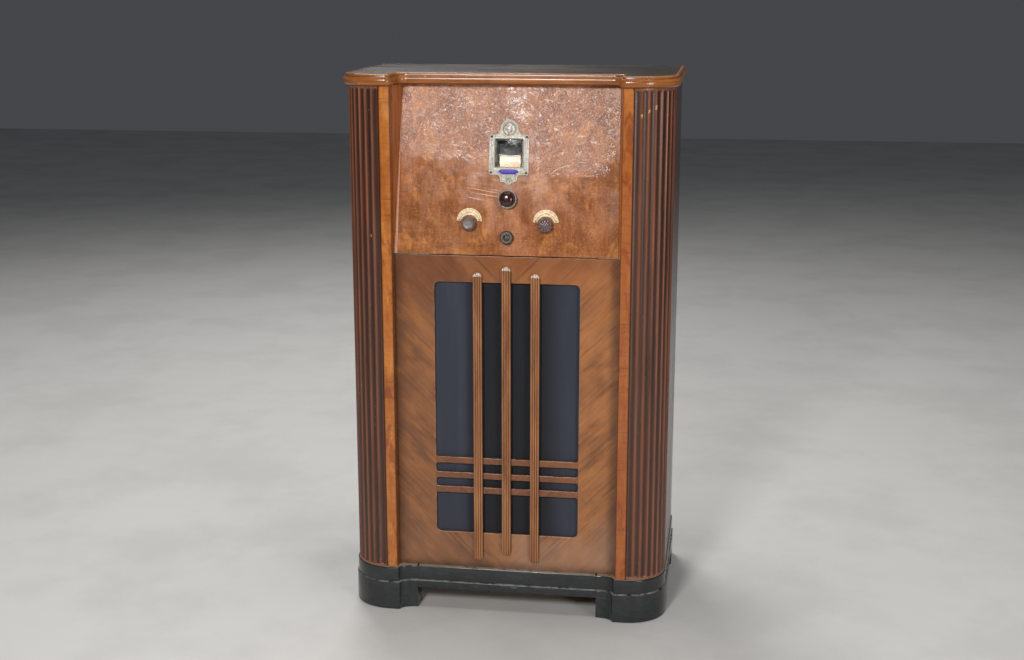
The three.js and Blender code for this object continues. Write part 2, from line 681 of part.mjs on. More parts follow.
// Tuning gang: frame, fixed plates, and one rotor with the dial drum on the same axle.
const deck = v1 + GAP;
const cheekPlate = (x) =>
  cut(
    block(x, x + 2, 32, 96, deck, 206),
    across(rod(SHAFT_R + 0.4, -5, 7), 12, x, DRUM.w, DRUM.v),
    block(x - 1, x + 3, SPINDLE.w + 40, 110, deck + 20, 140),
  );
piece(
  "gang_frame",
  join(
    block(-38, 122, 64, 92, deck, deck + 2),
    cheekPlate(-38),
    cheekPlate(30),
    cheekPlate(120),
    block(30, 122, 88, 96, 192, 200),
    block(44, 110, 88, 94, 150, 194),
  ),
  STEEL,
  panel,
);
const vane = (x) =>
  common(
    across(rod(30, 0, 18), 20, x, DRUM.w, DRUM.v),
    block(x - 1, x + 19, DRUM.w - 40, DRUM.w + 40, DRUM.v - 40, DRUM.v + 1),
  );
piece(
  "dial_drum",
  join(
    across(
      [[0, -41], [3, -41], [3, -9], [9, -9], [9, -3], [37, -3], [37, -DRUM.half],
        [DRUM.r, -DRUM.half], [DRUM.r, DRUM.half], [GROOVE.r, 19.2], [GROOVE.r, 22], [DRUM.r, 22.2],
        [DRUM.r, GROOVE.edge], [37, GROOVE.edge], [37, 3], [9, 3], [9, 9], [3, 9], [3, 125], [0, 125]],
      28,
      0,
      DRUM.w,
      DRUM.v,
    ),
    vane(42),
    vane(66),
    vane(92),
  ),
  finish(0xd8cba4, 0.6),
  panel,
);
// Dial cord: down from both sides of the drum, to either side of the spindle.
const cordR = 0.7;
const cordLift = GROOVE.r + cordR + GAP;
const cordPath = new THREE.CatmullRomCurve3(
  [
    [SPINDLE.r + 1.1, DRUM.w + 1, TUNING.v],
    [9.6, DRUM.w + 4, TUNING.v + 7],
    [GROOVE.x, DRUM.w + 27.3, 140],
    ...arc(DRUM.w, DRUM.v, cordLift, -30, 210, 16).map(([w, v]) => [GROOVE.x, w, v]),
    [GROOVE.x, DRUM.w - 27.3, 140],
    [2, DRUM.w - 10, TUNING.v + 14.6],
    [-6.8, DRUM.w - 3, TUNING.v + 5.6],
    [-SPINDLE.r - 1.1, DRUM.w - 1, TUNING.v],
  ].map(([x, w, v]) => new THREE.Vector3(x, w, v)),
);
const tube = (path, r, sides, steps) =>
  new THREE.ExtrudeGeometry(outline(arc(0, 0, r, 0, 360 - 360 / sides, sides - 1)), {
    extrudePath: path,
    steps,
    bevelEnabled: false,
  });
piece("dial_cord", tube(cordPath, cordR, 5, 56), finish(0x8a7a58, 0.9), panel);

// Power transformer: laminated core, two end bells.
piece(
  "power_transformer",
  join(
    block(64, 140, 132, 186, deck, deck + 66),
    block(72, 132, 118, 200, deck, deck + 58),
  ),
  BLACK_STEEL,
  panel,
);
// Valves stand on the deck in their sockets.
const bulb = (r, h) => [
  [0, 0], [16, 0], [16, 6], [13, 7], [13, 22], [14, 24], [r, 42], [r + 1, h * 0.58], [r, h * 0.72],
  [r * 0.55, h * 0.84], [r * 0.5, h * 0.95], [0, h],
];
piece("rectifier_valve", standing(bulb(21, 116), 18, 24, 165, deck), GLASS, panel);
piece("output_valve", standing(bulb(19, 106), 18, -34, 165, deck), GLASS, panel);
const can = [[0, 0], [19, 0], [19, 4], [16.5, 5], [16.5, 82], [13, 88], [5, 90], [5, 97], [0, 98]];
piece("screened_valve", standing(can, 18, -118, 96, deck), CAN_METAL, panel);
piece("if_can", block(-136, -102, 148, 182, deck, deck + 88), CAN_METAL, panel);

// Speaker lead: from the output transformer, up the side and round behind the shelf to the chassis back.
const onPanel = (x, w, v) => new THREE.Vector3(x, w, v).applyAxisAngle(new THREE.Vector3(1, 0, 0), -RAKE)
  .add(new THREE.Vector3(0, FOLD_Y, FOLD_Z));
const leadPath = new THREE.CatmullRomCurve3([
  new THREE.Vector3(150, 66, 285.5),
  new THREE.Vector3(160, 74, 330),
  new THREE.Vector3(214, 96, 400),
  new THREE.Vector3(262, 130, 470),
  new THREE.Vector3(280, 190, 540),
  new THREE.Vector3(280, 262, 580),
  new THREE.Vector3(262, 308, 626),
  new THREE.Vector3(214, 318, 668),
  onPanel(142, 262, 36),
  onPanel(120, 232, 34),
  onPanel(120, w1 - 10, 34),
]);
piece("speaker_lead", tube(leadPath, 3, 8, 60), finish(0x2a2520, 0.9));

export default cabinet;
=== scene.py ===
"""Floor-standing console radio: the looks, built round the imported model.

Everything is in the row frame, in metres: origin on the floor under the middle of the outline,
+X right seen from the front, +Y towards the open back, +Z up. Lengths in mm are written as n * MM.
"""
import math

import bmesh
import bpy
import numpy as np
from mathutils import Matrix, Vector


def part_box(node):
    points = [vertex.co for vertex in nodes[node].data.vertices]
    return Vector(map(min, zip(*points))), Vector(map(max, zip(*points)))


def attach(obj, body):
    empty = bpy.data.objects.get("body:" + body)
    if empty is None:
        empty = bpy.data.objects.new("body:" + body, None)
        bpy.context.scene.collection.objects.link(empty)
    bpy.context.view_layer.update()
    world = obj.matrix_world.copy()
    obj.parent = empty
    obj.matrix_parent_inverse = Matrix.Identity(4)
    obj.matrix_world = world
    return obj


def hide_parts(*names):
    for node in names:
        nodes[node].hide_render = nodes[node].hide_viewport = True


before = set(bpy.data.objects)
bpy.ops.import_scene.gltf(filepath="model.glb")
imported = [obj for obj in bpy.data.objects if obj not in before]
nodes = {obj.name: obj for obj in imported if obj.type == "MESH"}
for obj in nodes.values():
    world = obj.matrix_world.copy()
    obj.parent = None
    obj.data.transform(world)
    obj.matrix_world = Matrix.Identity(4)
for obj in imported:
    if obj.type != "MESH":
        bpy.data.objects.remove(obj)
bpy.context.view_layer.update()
scene = bpy.context.scene
MM = 0.001

# ---- Places taken from the frame ----
FACE_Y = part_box("left_strip")[0].y  # face of the upright strips
column_lo, column_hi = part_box("left_column")
BODY_HALF = -column_lo.x
panel_lo, panel_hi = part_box("front_panel")
top_lo, top_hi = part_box("top_board")
UNDER_TOP = top_lo.z
RAKE = math.atan2(52, 306)  # the raked panel leans back 52 mm over its height of 306 mm
FOLD = Vector((0, FACE_Y + 24 * MM, 694 * MM))  # the bend between the two panels
PANEL = Matrix.Translation(FOLD) @ Matrix.Rotation(-RAKE, 4, "X")
CABINET_PLACE = Matrix.Translation((0, FACE_Y, 0)) @ Matrix.Scale(MM, 4)
PANEL_PLACE = PANEL @ Matrix.Scale(MM, 4)
FRONT = Matrix(((1, 0, 0), (0, 0, -1), (0, 1, 0))).to_4x4()  # local Y up, local Z towards the viewer
SIDEWAYS = Matrix(((0, 0, 1), (1, 0, 0), (0, 1, 0))).to_4x4()  # outline in depth and height, run across


def at_panel(x, v, w=0.0):
    """Place for a fitting on the raked panel, in mm: local Z stands out of it and local Y runs up it."""
    return Matrix.Translation((x, w, v)) @ FRONT


def facing_back(x, y, z):
    """Place for something that stands out towards the back, in mm."""
    return Matrix.Translation((x, y, z)) @ Matrix.Rotation(math.pi, 4, "Z") @ FRONT


# ---- Node materials ----
def srgb(r, g, b):
    """A colour given as 0 to 255 screen values, as the linear one that a shader takes."""
    return tuple((c / 255 / 12.92) if c <= 10 else ((c / 255 + 0.055) / 1.055) ** 2.4 for c in (r, g, b))


class Tree:
    """A material under construction, with short names for the nodes it uses."""

    def __init__(self, name):
        self.mat = bpy.data.materials.new(name)
        self.mat.use_nodes = True
        self.tree = self.mat.node_tree
        self.tree.nodes.clear()
        self.bsdf = self.add("ShaderNodeBsdfPrincipled")
        out = self.add("ShaderNodeOutputMaterial")
        self.tree.links.new(self.bsdf.outputs[0], out.inputs[0])

    def add(self, kind, **props):
        node = self.tree.nodes.new(kind)
        for key, value in props.items():
            setattr(node, key, value)
        return node

    def feed(self, socket, value):
        if isinstance(value, bpy.types.NodeSocket):
            self.tree.links.new(value, socket)
        else:
            socket.default_value = value

    def set(self, **values):
        for key, value in values.items():
            self.feed(self.bsdf.inputs[key.replace("_", " ")], value)

    def math(self, op, a, b=0.0):
        node = self.add("ShaderNodeMath", operation=op)
        self.feed(node.inputs[0], a)
        self.feed(node.inputs[1], b)
        return node.outputs[0]

    def chain(self, op, first, *others):
        for other in others:
            first = self.math(op, first, other)
        return first

    def mul(self, *values):
        return self.chain("MULTIPLY", *values)

    def sum(self, *values):
        return self.chain("ADD", *values)

    def most(self, *values):
        return self.chain("MAXIMUM", *values)

    def minus(self, a, b):
        return self.math("SUBTRACT", a, b)

    def point(self):
        return self.add("ShaderNodeTexCoord").outputs["Object"]

    def attribute(self, name, output="Fac"):
        return self.add("ShaderNodeAttribute", attribute_name=name).outputs[output]

    def split(self, vector):
        node = self.add("ShaderNodeSeparateXYZ")
        self.feed(node.inputs[0], vector)
        return node.outputs

    def vector(self, x, y, z):
        node = self.add("ShaderNodeCombineXYZ")
        for socket, value in zip(node.inputs, (x, y, z)):
            self.feed(socket, value)
        return node.outputs[0]

    def noise(self, vector, scale=1.0, detail=4.0, rough=0.55, distortion=0.0):
        node = self.add("ShaderNodeTexNoise")
        self.feed(node.inputs["Vector"], vector)
        for key, value in (("Scale", scale), ("Detail", detail), ("Roughness", rough),
                           ("Distortion", distortion)):
            node.inputs[key].default_value = value
        return node.outputs[0]

    def stretch(self, vector, x, y, z):
        node = self.add("ShaderNodeVectorMath", operation="MULTIPLY")
        self.feed(node.inputs[0], vector)
        node.inputs[1].default_value = (x, y, z)
        return node.outputs[0]

    def cloud(self, point, per_metre, detail, rough=0.6, distortion=0.0):
        """Noise with its own frequency on each axis."""
        return self.noise(self.stretch(point, *per_metre), 1.0, detail, rough, distortion)

    def band(self, value, low, high, to_low=0.0, to_high=1.0, smooth=True):
        """Maps low..high to to_low..to_high, clamped."""
        node = self.add("ShaderNodeMapRange", interpolation_type="SMOOTHSTEP" if smooth else "LINEAR")
        for socket, v in zip(node.inputs, (value, low, high, to_low, to_high)):
            self.feed(socket, v)
        return node.outputs[0]

    def near(self, value, centre, outside, inside):
        """1 where the value is within inside of the centre, falling to 0 at outside."""
        return self.band(self.math("ABSOLUTE", self.minus(value, centre)), outside, inside)

    def ramp(self, value, *stops):
        """stops are (place, screen colour) pairs."""
        node = self.add("ShaderNodeValToRGB")
        self.feed(node.inputs[0], value)
        elements = node.color_ramp.elements
        while len(elements) < len(stops):
            elements.new(0.5)
        for element, (place, colour) in zip(elements, stops):
            element.position = place
            element.color = (*srgb(*colour), 1.0)
        return node.outputs[0]

    def mix(self, factor, a, b):
        node = self.add("ShaderNodeMix", data_type="RGBA")
        self.feed(node.inputs[0], factor)
        for socket, value in ((node.inputs[6], a), (node.inputs[7], b)):
            self.feed(socket, (*value, 1.0) if isinstance(value, tuple) else value)
        return node.outputs[2]

    def tint(self, colour, paint, *shares):
        """Lays a screen colour over another, by the product of the shares."""
        return self.mix(self.mul(*shares), colour, srgb(*paint))

    def bump(self, height, distance, strength):
        node = self.add("ShaderNodeBump")
        node.inputs["Strength"].default_value = strength
        node.inputs["Distance"].default_value = distance
        self.feed(node.inputs["Height"], height)
        return node.outputs[0]


def wood(name, shades, across, figure, coord=Tree.point, gloss=0.3, pores=0.25, relief=0.35, shine=0.5,
         after=None):
    """Lacquered wood, from its dark, middle and light shades. across gives the grain's frequencies on
    the three axes, per metre, and figure those of its slow clouds. after(tree, point, colour, rough,
    height) may add to the colour, roughness and height."""
    t = Tree(name)
    p = coord(t)
    clouds = t.cloud(p, figure, 5, 0.6, 0.6)
    grain = t.cloud(p, across, 6, 0.65, 0.25)
    fine = t.cloud(p, [3.2 * a for a in across], 3)
    value = t.sum(t.mul(clouds, 0.55), t.mul(grain, 0.45))
    colour = t.ramp(t.band(value, 0.3, 0.72, smooth=False), *zip((0.0, 0.5, 1.0), shades))
    colour = t.mix(t.mul(t.band(fine, 0.58, 0.74), pores), colour, tuple(0.25 * c for c in srgb(*shades[0])))
    rough = t.band(clouds, 0.3, 0.7, gloss - 0.04, gloss + 0.08)
    height = t.sum(t.mul(fine, -0.35), t.mul(clouds, 0.5))
    if after:
        colour, rough, height = after(t, p, colour, rough, height)
    t.set(Base_Color=colour, Roughness=rough, Normal=t.bump(height, 0.0004, relief), Specular_IOR_Level=shine)
    return t.mat


def raw_inside(t, colour, rough, bare):
    """Unfinished wood where bare is 1: the faces that only show from behind."""
    raw = t.ramp(t.cloud(t.point(), (40, 160, 12), 5), (0.3, (118, 88, 58)), (0.7, (168, 134, 92)))
    return t.mix(bare, colour, raw), t.band(bare, 0.0, 1.0, rough, 0.8, smooth=False)


def ridges(t, p, per_metre, width):
    """Thin wandering lines, 1 on the line, like wrinkles in old varnish."""
    return t.near(t.cloud(p, per_metre, 3.0, 0.55, 1.2), 0.5, width, 0.0)


def panel_wear(t, p, colour, rough, height):
    """Old varnish on the raked panel: dirt clouds, wrinkles that thicken towards the top and carry a painted
    highlight, scratches.
    """
    x, y, z = t.split(p)
    colour = t.tint(colour, (116, 68, 44), t.band(t.cloud(p, (18, 18, 12), 6, 0.66, 1.2), 0.5, 0.66), 0.6)
    colour = t.tint(colour, (214, 142, 76), t.band(t.cloud(p, (30, 30, 20), 5, 0.65, 0.8), 0.5, 0.68), 0.5)
    for threads in ((420, 420, 60), (50, 50, 460)):  # of the old polish, down and across
        colour = t.tint(colour, (112, 66, 40), t.band(t.cloud(p, threads, 3), 0.5, 0.66), 0.3)
    colour = t.tint(colour, (222, 164, 118), t.band(t.noise(p, 260, 3, 0.7), 0.48, 0.32), 0.26)
    corner = t.mul(t.band(x, -0.03, -0.17), t.band(z, 0.87, 0.70))
    dirt = t.band(t.cloud(p, (30, 30, 40), 5, 0.65), 0.46, 0.6)
    colour = t.tint(colour, (104, 66, 30), corner, dirt, 0.5)
    # crinkled varnish: all along the top and down the middle, and a dripping patch on the right
    middle = t.sum(t.mul(t.near(x, -0.012, 0.2, 0.06), 0.55), 0.45)
    top = t.mul(t.band(z, 0.85, 0.92), middle, t.band(t.noise(p, 17, 4, 0.6), 0.24, 0.6))
    drips = t.mul(t.band(x, 0.04, 0.07), t.band(x, 0.19, 0.16), t.band(z, 0.832, 0.85), 0.7)
    where = t.most(top, drips)
    wrinkle = t.most(ridges(t, p, (54, 54, 70), 0.07), t.mul(ridges(t, p, (190, 190, 150), 0.12), 0.6))
    rim = t.mul(t.most(wrinkle, t.band(t.noise(p, 280, 3, 0.6), 0.46, 0.74)), where)
    # pale crests of the crinkles: partly pale crinkled varnish, partly a painted highlight
    colour = t.tint(colour, (242, 220, 214), rim, 0.3)
    colour = t.tint(colour, (84, 48, 42), t.band(t.noise(p, 300, 2, 0.5), 0.4, 0.3), where, 0.4)
    rough = t.sum(rough, t.mul(where, 0.05))
    swell = t.cloud(p, (30, 30, 34), 3, 0.5)
    height = t.sum(t.mul(height, 0.35), t.mul(swell, 1.4), t.mul(rim, 1.25))
    # scratches running down to the tuning knob from the left, and one curved one up on the right
    slope = t.sum(z, t.mul(x, 0.16))
    lines = t.noise(t.vector(t.mul(x, 9.0), 0.0, t.mul(slope, 620.0)), 1.0, 2, 0.5)
    scratch = t.mul(t.band(lines, 0.56, 0.61), t.near(x, -0.046, 0.036, 0.022),
                    t.near(z, 0.806, 0.016, 0.008))
    ring = t.sum(*(t.math("POWER", t.minus(v, centre), 2.0) for v, centre in ((x, 0.118), (z, 0.80))))
    bow = t.mul(t.near(t.math("SQRT", ring), 0.058, 0.0009, 0.0003), t.band(x, 0.112, 0.104),
                t.band(z, 0.838, 0.843), 0.7)
    colour = t.tint(colour, (236, 212, 200), t.most(scratch, bow), 0.8)
    depth = t.minus(y, t.mul(t.minus(z, FOLD.z), math.tan(RAKE)))
    colour, rough = raw_inside(t, colour, rough, t.band(depth, FOLD.y + 0.001, FOLD.y + 0.002))
    return colour, rough, height


def mirrored_grain(t):
    """Veneer laid in a V about the middle: coordinates along and across a 45 degree grain."""
    x, y, z = t.split(t.point())
    x = t.math("ABSOLUTE", x)
    return t.vector(t.sum(z, x), y, t.minus(z, x))


def lower_wear(t, grain, colour, rough, height):
    """Stains of the lower panel, its dirty foot, painted shade under the fold and down its sides, dust and a
    painted floor reflection low down, its crosspieces, and the worn cut edges of its openings with a painted
    highlight.
    """
    p = t.point()
    x, y, z = t.split(p)
    # the two halves of the matched veneer catch the light differently
    colour = t.tint(colour, (92, 58, 38), t.band(x, 0.012, -0.012), 0.4)
    cloud = t.cloud(p, (7, 7, 5), 4, 0.6, 0.5)
    colour = t.tint(colour, (98, 56, 30), t.band(cloud, 0.46, 0.64), 0.4)
    colour = t.tint(colour, (178, 112, 56), t.band(t.cloud(grain, (7, 20, 26), 4), 0.5, 0.66), 0.4)
    colour = t.tint(colour, (176, 104, 46), t.band(z, 0.60, 0.67), t.near(x, 0.06, 0.2, 0.05), 0.4)
    # grime and painted shade: a darker band under the fold, deeper and wider on the left
    left_top_grime_and_shade = t.mul(t.band(x, -0.02, -0.12), t.band(z, 0.56, 0.66), 0.6)
    grime_and_shade_under_fold = t.most(t.mul(t.band(z, 0.645, 0.69), 0.4), left_top_grime_and_shade)
    colour = t.tint(colour, (98, 46, 18), grime_and_shade_under_fold, t.band(cloud, 0.3, 0.55, 0.6, 1.0))
    streak = t.cloud(grain, (3, 60, 75), 2, 0.5, 0.2)
    colour = t.tint(colour, (74, 42, 24), t.band(streak, 0.62, 0.7), 0.55)
    # dust and a painted reflection of the floor: the foot paler and greyer, more on the right
    dust_and_floor_reflection = t.mul(t.band(z, 0.25, 0.11), t.band(t.noise(p, 9, 4, 0.5), 0.2, 0.7))
    colour = t.tint(colour, (172, 136, 112), dust_and_floor_reflection, t.band(x, -0.05, 0.03, 0.15, 0.5))
    # dirt along the foot, and painted shade down both sides where the panel meets the strips
    outward = t.math("ABSOLUTE", x)
    foot = t.mul(t.band(z, 0.105, 0.086), t.noise(p, 30, 5, 0.6))
    edge = t.mul(t.band(outward, 0.185, 0.209), t.noise(p, 24, 5, 0.6))
    colour = t.tint(colour, (50, 34, 24), t.most(foot, edge))
    crosspieces = t.mul(t.band(outward, 0.137, 0.1355), t.band(z, 0.2325, 0.2335), t.band(z, 0.3055, 0.3045))
    colour = t.tint(colour, (104, 62, 42), crosspieces, 0.6)
    rough = t.minus(rough, t.mul(crosspieces, 0.08))
    behind = t.minus(y, panel_lo.y)
    rim = t.mul(t.band(behind, 0.0001, 0.0003), t.band(behind, 0.0012, 0.0008))
    # cut edges of the openings: pale where worn, and partly a painted highlight
    worn_and_glinting = t.band(t.cloud(p, (60, 130, 60), 4, 0.65), 0.36, 0.54)
    colour = t.tint(colour, (206, 178, 156), rim, worn_and_glinting, 0.85)
    ply = t.ramp(t.cloud(p, (400, 900, 120), 3), (0.35, (60, 36, 20)), (0.7, (130, 80, 45)))
    colour = t.mix(t.band(behind, 0.0011, 0.0015), colour, ply)
    colour, rough = raw_inside(t, colour, rough, t.band(y, panel_hi.y - 0.001, panel_hi.y - 0.0002))
    return colour, rough, height


def strip_wear(t, p, colour, rough, height):
    """Cross figure of the golden strips, with a few dark cross lines, and darker towards both edges."""
    x, y, z = t.split(p)
    colour = t.tint(colour, (150, 78, 32), t.band(t.cloud(p, (34, 34, 150), 3, 0.5, 0.7), 0.42, 0.62), 0.3)
    colour = t.tint(colour, (120, 54, 26), t.band(t.cloud(p, (40, 40, 15), 4, 0.6, 1.4), 0.52, 0.64), 0.6)
    colour = t.tint(colour, (136, 64, 34), t.band(x, 0.0, 0.1), t.band(z, 0.95, 0.75, 0.15, 0.5))
    colour = t.tint(colour, (98, 52, 26), t.band(t.cloud(p, (12, 12, 330), 2, 0.5, 0.4), 0.64, 0.7), 0.5)
    outward = t.math("ABSOLUTE", x)
    edges = t.most(t.band(outward, 0.2118, 0.2092), t.band(outward, 0.2262, 0.2285))
    return t.tint(colour, (92, 50, 28), edges, 0.7), rough, height


def flute_dirt(t, p, colour, rough, height):
    """Painted shade in the hollows, a painted highlight on the crests, pale specks, and a slanting row of
    chips on the right column.
    """
    depth = t.attribute("depth")
    x, y, z = t.split(p)
    colour = t.tint(colour, (150, 78, 52), t.band(t.cloud(p, (300, 300, 5), 3), 0.5, 0.64), 0.55)
    colour = t.tint(colour, (104, 92, 74), t.band(t.cloud(p, (240, 240, 4), 2), 0.54, 0.68), 0.4)
    # painted shade in the hollows of the flutes
    colour = t.tint(colour, (34, 20, 14), t.band(depth, 0.35, 0.95), 0.8)
    # painted highlight along the crests between the flutes
    colour = t.tint(colour, (168, 108, 74), t.band(depth, 0.16, 0.0), t.cloud(p, (60, 60, 14), 3), 0.65)
    colour = t.tint(colour, (196, 160, 110), t.band(t.cloud(p, (260, 260, 90), 2, 0.5), 0.74, 0.78), 0.7)
    colour = t.tint(colour, (18, 12, 10), t.band(t.math("ABSOLUTE", x), 0.2312, 0.2302), 0.85)
    slant = t.near(t.minus(z, t.mul(x, 0.6)), 0.806, 0.0042, 0.0026)
    chips = t.mul(slant, t.near(x, 0.257, 0.017, 0.014), t.band(depth, 0.6, 0.3))
    colour = t.tint(colour, (232, 192, 120), chips, t.band(t.noise(p, 260, 3, 0.6), 0.42, 0.5))
    return colour, rough, height


def side_wear(t, p, colour, rough, height):
    outward = t.math("ABSOLUTE", t.split(p)[0])
    bare = t.band(outward, BODY_HALF - 0.0122, BODY_HALF - 0.0127)
    return *raw_inside(t, colour, rough, bare), height


def top_wear(t, p, colour, rough, height):
    blotch = t.cloud(p, (9, 14, 9), 5, 0.65, 0.9)
    colour = t.tint(colour, (36, 32, 22), t.band(blotch, 0.42, 0.68), 0.42)
    rough = t.sum(rough, t.mul(t.band(blotch, 0.5, 0.62), 0.14))
    return *raw_inside(t, colour, rough, t.band(t.split(p)[2], UNDER_TOP + 0.0004, UNDER_TOP)), height


def nosing_wear(t, grain, colour, rough, height):
    """Darker in the moulding's step, painted shade along its underside, pale rubbed spots on its crown."""
    p = t.point()
    above = t.minus(t.split(p)[2], UNDER_TOP)
    spot = t.noise(p, 45, 5, 0.65)
    colour = t.tint(colour, (112, 58, 30), t.band(spot, 0.52, 0.66), 0.5)
    colour = t.tint(colour, (70, 34, 18), t.near(above, 0.0155, 0.0012, 0.0004), 0.75)
    # painted shade on the underside of the moulding
    colour = t.tint(colour, (84, 40, 22), t.band(above, 0.0035, 0.0005), 0.6)
    rub = t.mul(t.band(t.noise(p, 160, 4, 0.6), 0.6, 0.7), t.band(spot, 0.45, 0.35))
    return t.tint(colour, (228, 188, 146), rub, 0.6), rough, height


def bar_wear(t, p, colour, rough, height):
    # painted shade in the valleys between the reeds
    colour = t.tint(colour, (38, 22, 14), t.band(t.attribute("depth"), 0.35, 0.95), 0.8)
    # pale chips on the bars' rounded tops, partly a painted highlight
    chips = t.mul(t.attribute("wear"), t.band(t.noise(p, 420, 3, 0.6), 0.42, 0.52))
    return t.tint(colour, (224, 216, 204), chips), rough, height


def black_wear(t, p, colour, rough, height):
    """Black lacquer rubbed through along the joint of its two tiers, with grey scuffs and dust."""
    z = t.split(p)[2]
    patchy = t.noise(p, 70, 6, 0.7)
    line = t.mul(t.near(z, 0.0556, 0.0014, 0.0005), t.band(patchy, 0.36, 0.62))
    colour = t.tint(colour, (150, 146, 138), line, 0.85)
    scuffs = t.cloud(p, (22, 22, 160), 3, 0.6, 0.8)
    colour = t.tint(colour, (112, 114, 114), t.band(scuffs, 0.66, 0.74), 0.35)
    colour = t.tint(colour, (150, 132, 108), t.band(z, 0.0842, 0.0849), t.band(patchy, 0.3, 0.5))
    return colour, t.sum(rough, t.mul(line, 0.3)), height


def simple(name, colour, second, scale, rough, metal, height):
    """A plain finish with a mottled second colour, uneven gloss and a fine surface."""
    t = Tree(name)
    p = t.point()
    blot = t.noise(p, scale, 5, 0.6)
    fine = t.noise(p, scale * 9, 3, 0.6)
    t.set(Base_Color=t.mix(t.band(blot, 0.4, 0.66), srgb(*colour), srgb(*second)),
          Roughness=t.band(blot, 0.3, 0.7, *rough), Metallic=metal,
          Normal=t.bump(t.sum(fine, t.mul(blot, 0.6)), height, 0.5))
    return t.mat


def weave(name, thread, gap, per_metre, sheen=0.0, dim=0.0):
    """Plain woven cloth: crossing threads, painted shade of slow folds, and loose fibres. dim darkens its
    middle.
    """
    t = Tree(name)
    p = t.point()
    x, y, z = t.split(p)
    thread, gap = srgb(*thread), srgb(*gap)
    cross = t.mul(*(t.math("SINE", t.mul(v, per_metre * 2 * math.pi)) for v in (x, z)))
    colour = t.mix(t.band(cross, -0.8, 0.8), gap, thread)
    # painted shade of slow vertical folds
    colour = t.mix(t.mul(t.band(t.cloud(p, (20, 20, 1.6), 3, 0.5), 0.42, 0.6), 0.45), colour, gap)
    colour = t.tint(colour, (120, 124, 134), t.band(t.noise(p, 900, 3, 0.7), 0.66, 0.8), 0.15)
    if dim:
        colour = t.mix(t.mul(t.near(x, 0.012, 0.12, 0.05), dim), colour, tuple(0.4 * c for c in gap))
    t.set(Base_Color=colour, Roughness=0.92, Normal=t.bump(cross, 0.0003, 0.6), Sheen_Weight=sheen)
    return t.mat


def glass(name, tint, rough=0.03):
    t = Tree(name)
    smear = t.band(t.noise(t.point(), 70, 4, 0.6), 0.4, 0.7, rough, rough + 0.12)
    t.set(Base_Color=(*tint, 1), Roughness=smear, Transmission_Weight=1.0, IOR=1.47)
    return t.mat


WALNUT = wood("walnut_control", ((106, 58, 34), (160, 98, 58), (194, 126, 80)), (150, 60, 22), (20, 18, 14),
              gloss=0.15, pores=0.15, relief=0.9, shine=0.3, after=panel_wear)
CHEVRON = wood("walnut_lower", ((94, 56, 30), (154, 98, 56), (184, 122, 70)), (9, 60, 130), (9, 12, 18),
               coord=mirrored_grain, gloss=0.34, pores=0.5, after=lower_wear)
GOLD = wood("golden_strip", ((138, 72, 30), (184, 110, 46), (212, 138, 66)), (70, 70, 22), (30, 30, 8),
            gloss=0.22, pores=0.15, after=strip_wear)
MAHOGANY = wood("fluted_column", ((66, 38, 26), (112, 66, 46), (142, 86, 58)), (240, 240, 5), (30, 30, 3),
                gloss=0.3, pores=0.4, after=flute_dirt)
SIDE = wood("side_veneer", ((44, 25, 20), (78, 44, 33), (100, 58, 42)), (120, 220, 5), (8, 14, 3),
            gloss=0.25, pores=0.3, after=side_wear)
NOSING = wood("nosing_wood", ((104, 60, 28), (152, 92, 44), (184, 120, 64)), (5, 420, 420), (9, 60, 60),
              coord=lambda t: t.attribute("grain", "Vector"), gloss=0.2, pores=0.45, after=nosing_wear)
CHEEK = wood("cheek_wood", ((126, 68, 34), (172, 100, 50), (198, 126, 66)), (200, 200, 7), (30, 30, 6),
             gloss=0.26, pores=0.35)
TOP = wood("top_veneer", ((22, 14, 7), (44, 30, 17), (78, 56, 31)), (7, 190, 60), (6, 12, 9),
           gloss=0.34, pores=0.3, shine=0.17, after=top_wear)
BAR = wood("reeded_bar", ((104, 64, 38), (152, 100, 64), (184, 130, 84)), (400, 400, 9), (40, 40, 7),
           gloss=0.28, pores=0.35, after=bar_wear)
BLACK = wood("black_lacquer", ((24, 26, 28), (40, 42, 44), (56, 58, 60)), (60, 60, 160), (14, 14, 14),
             gloss=0.17, pores=0.1, after=black_wear)
PLY = wood("raw_board", ((120, 88, 56), (164, 128, 86), (190, 154, 108)), (12, 60, 220), (8, 8, 8),
           gloss=0.75, pores=0.3)
CLOTH = weave("grille_weave", (78, 83, 100), (32, 35, 45), 900, 0.2, dim=0.97)
LEAD = weave("braided_lead", (96, 74, 44), (46, 34, 22), 700)
CORD = weave("dial_string", (186, 160, 110), (110, 90, 56), 1500)
GLASS = glass("clear_glass", (0.96, 0.98, 0.97))
JEWEL = glass("smoky_jewel", srgb(222, 218, 212), 0.22)
# plain finishes: colour, mottled colour, mottling per metre, roughness range, metal, surface height in m
NICKEL = simple("tarnished_nickel", (184, 179, 165), (142, 136, 122), 420, (0.46, 0.6), 0.4, 0.00008)
# rims and ribs of the escutcheon: rubbed bright nickel, and partly a painted highlight
BRIGHT_NICKEL = simple("rubbed_and_highlit_nickel", (222, 218, 210), (184, 178, 168), 300, (0.36, 0.5), 0.4, 0.00005)
DARK_NICKEL = simple("grimy_nickel", (96, 86, 66), (60, 52, 40), 200, (0.5, 0.7), 0.6, 0.00008)
GOLD_PLATE = simple("scale_plate", (226, 202, 166), (204, 176, 140), 260, (0.45, 0.6), 0.2, 0.00005)
BAKELITE = simple("bakelite_gloss", (44, 24, 20), (70, 38, 30), 150, (0.1, 0.2), 0.0, 0.00003)
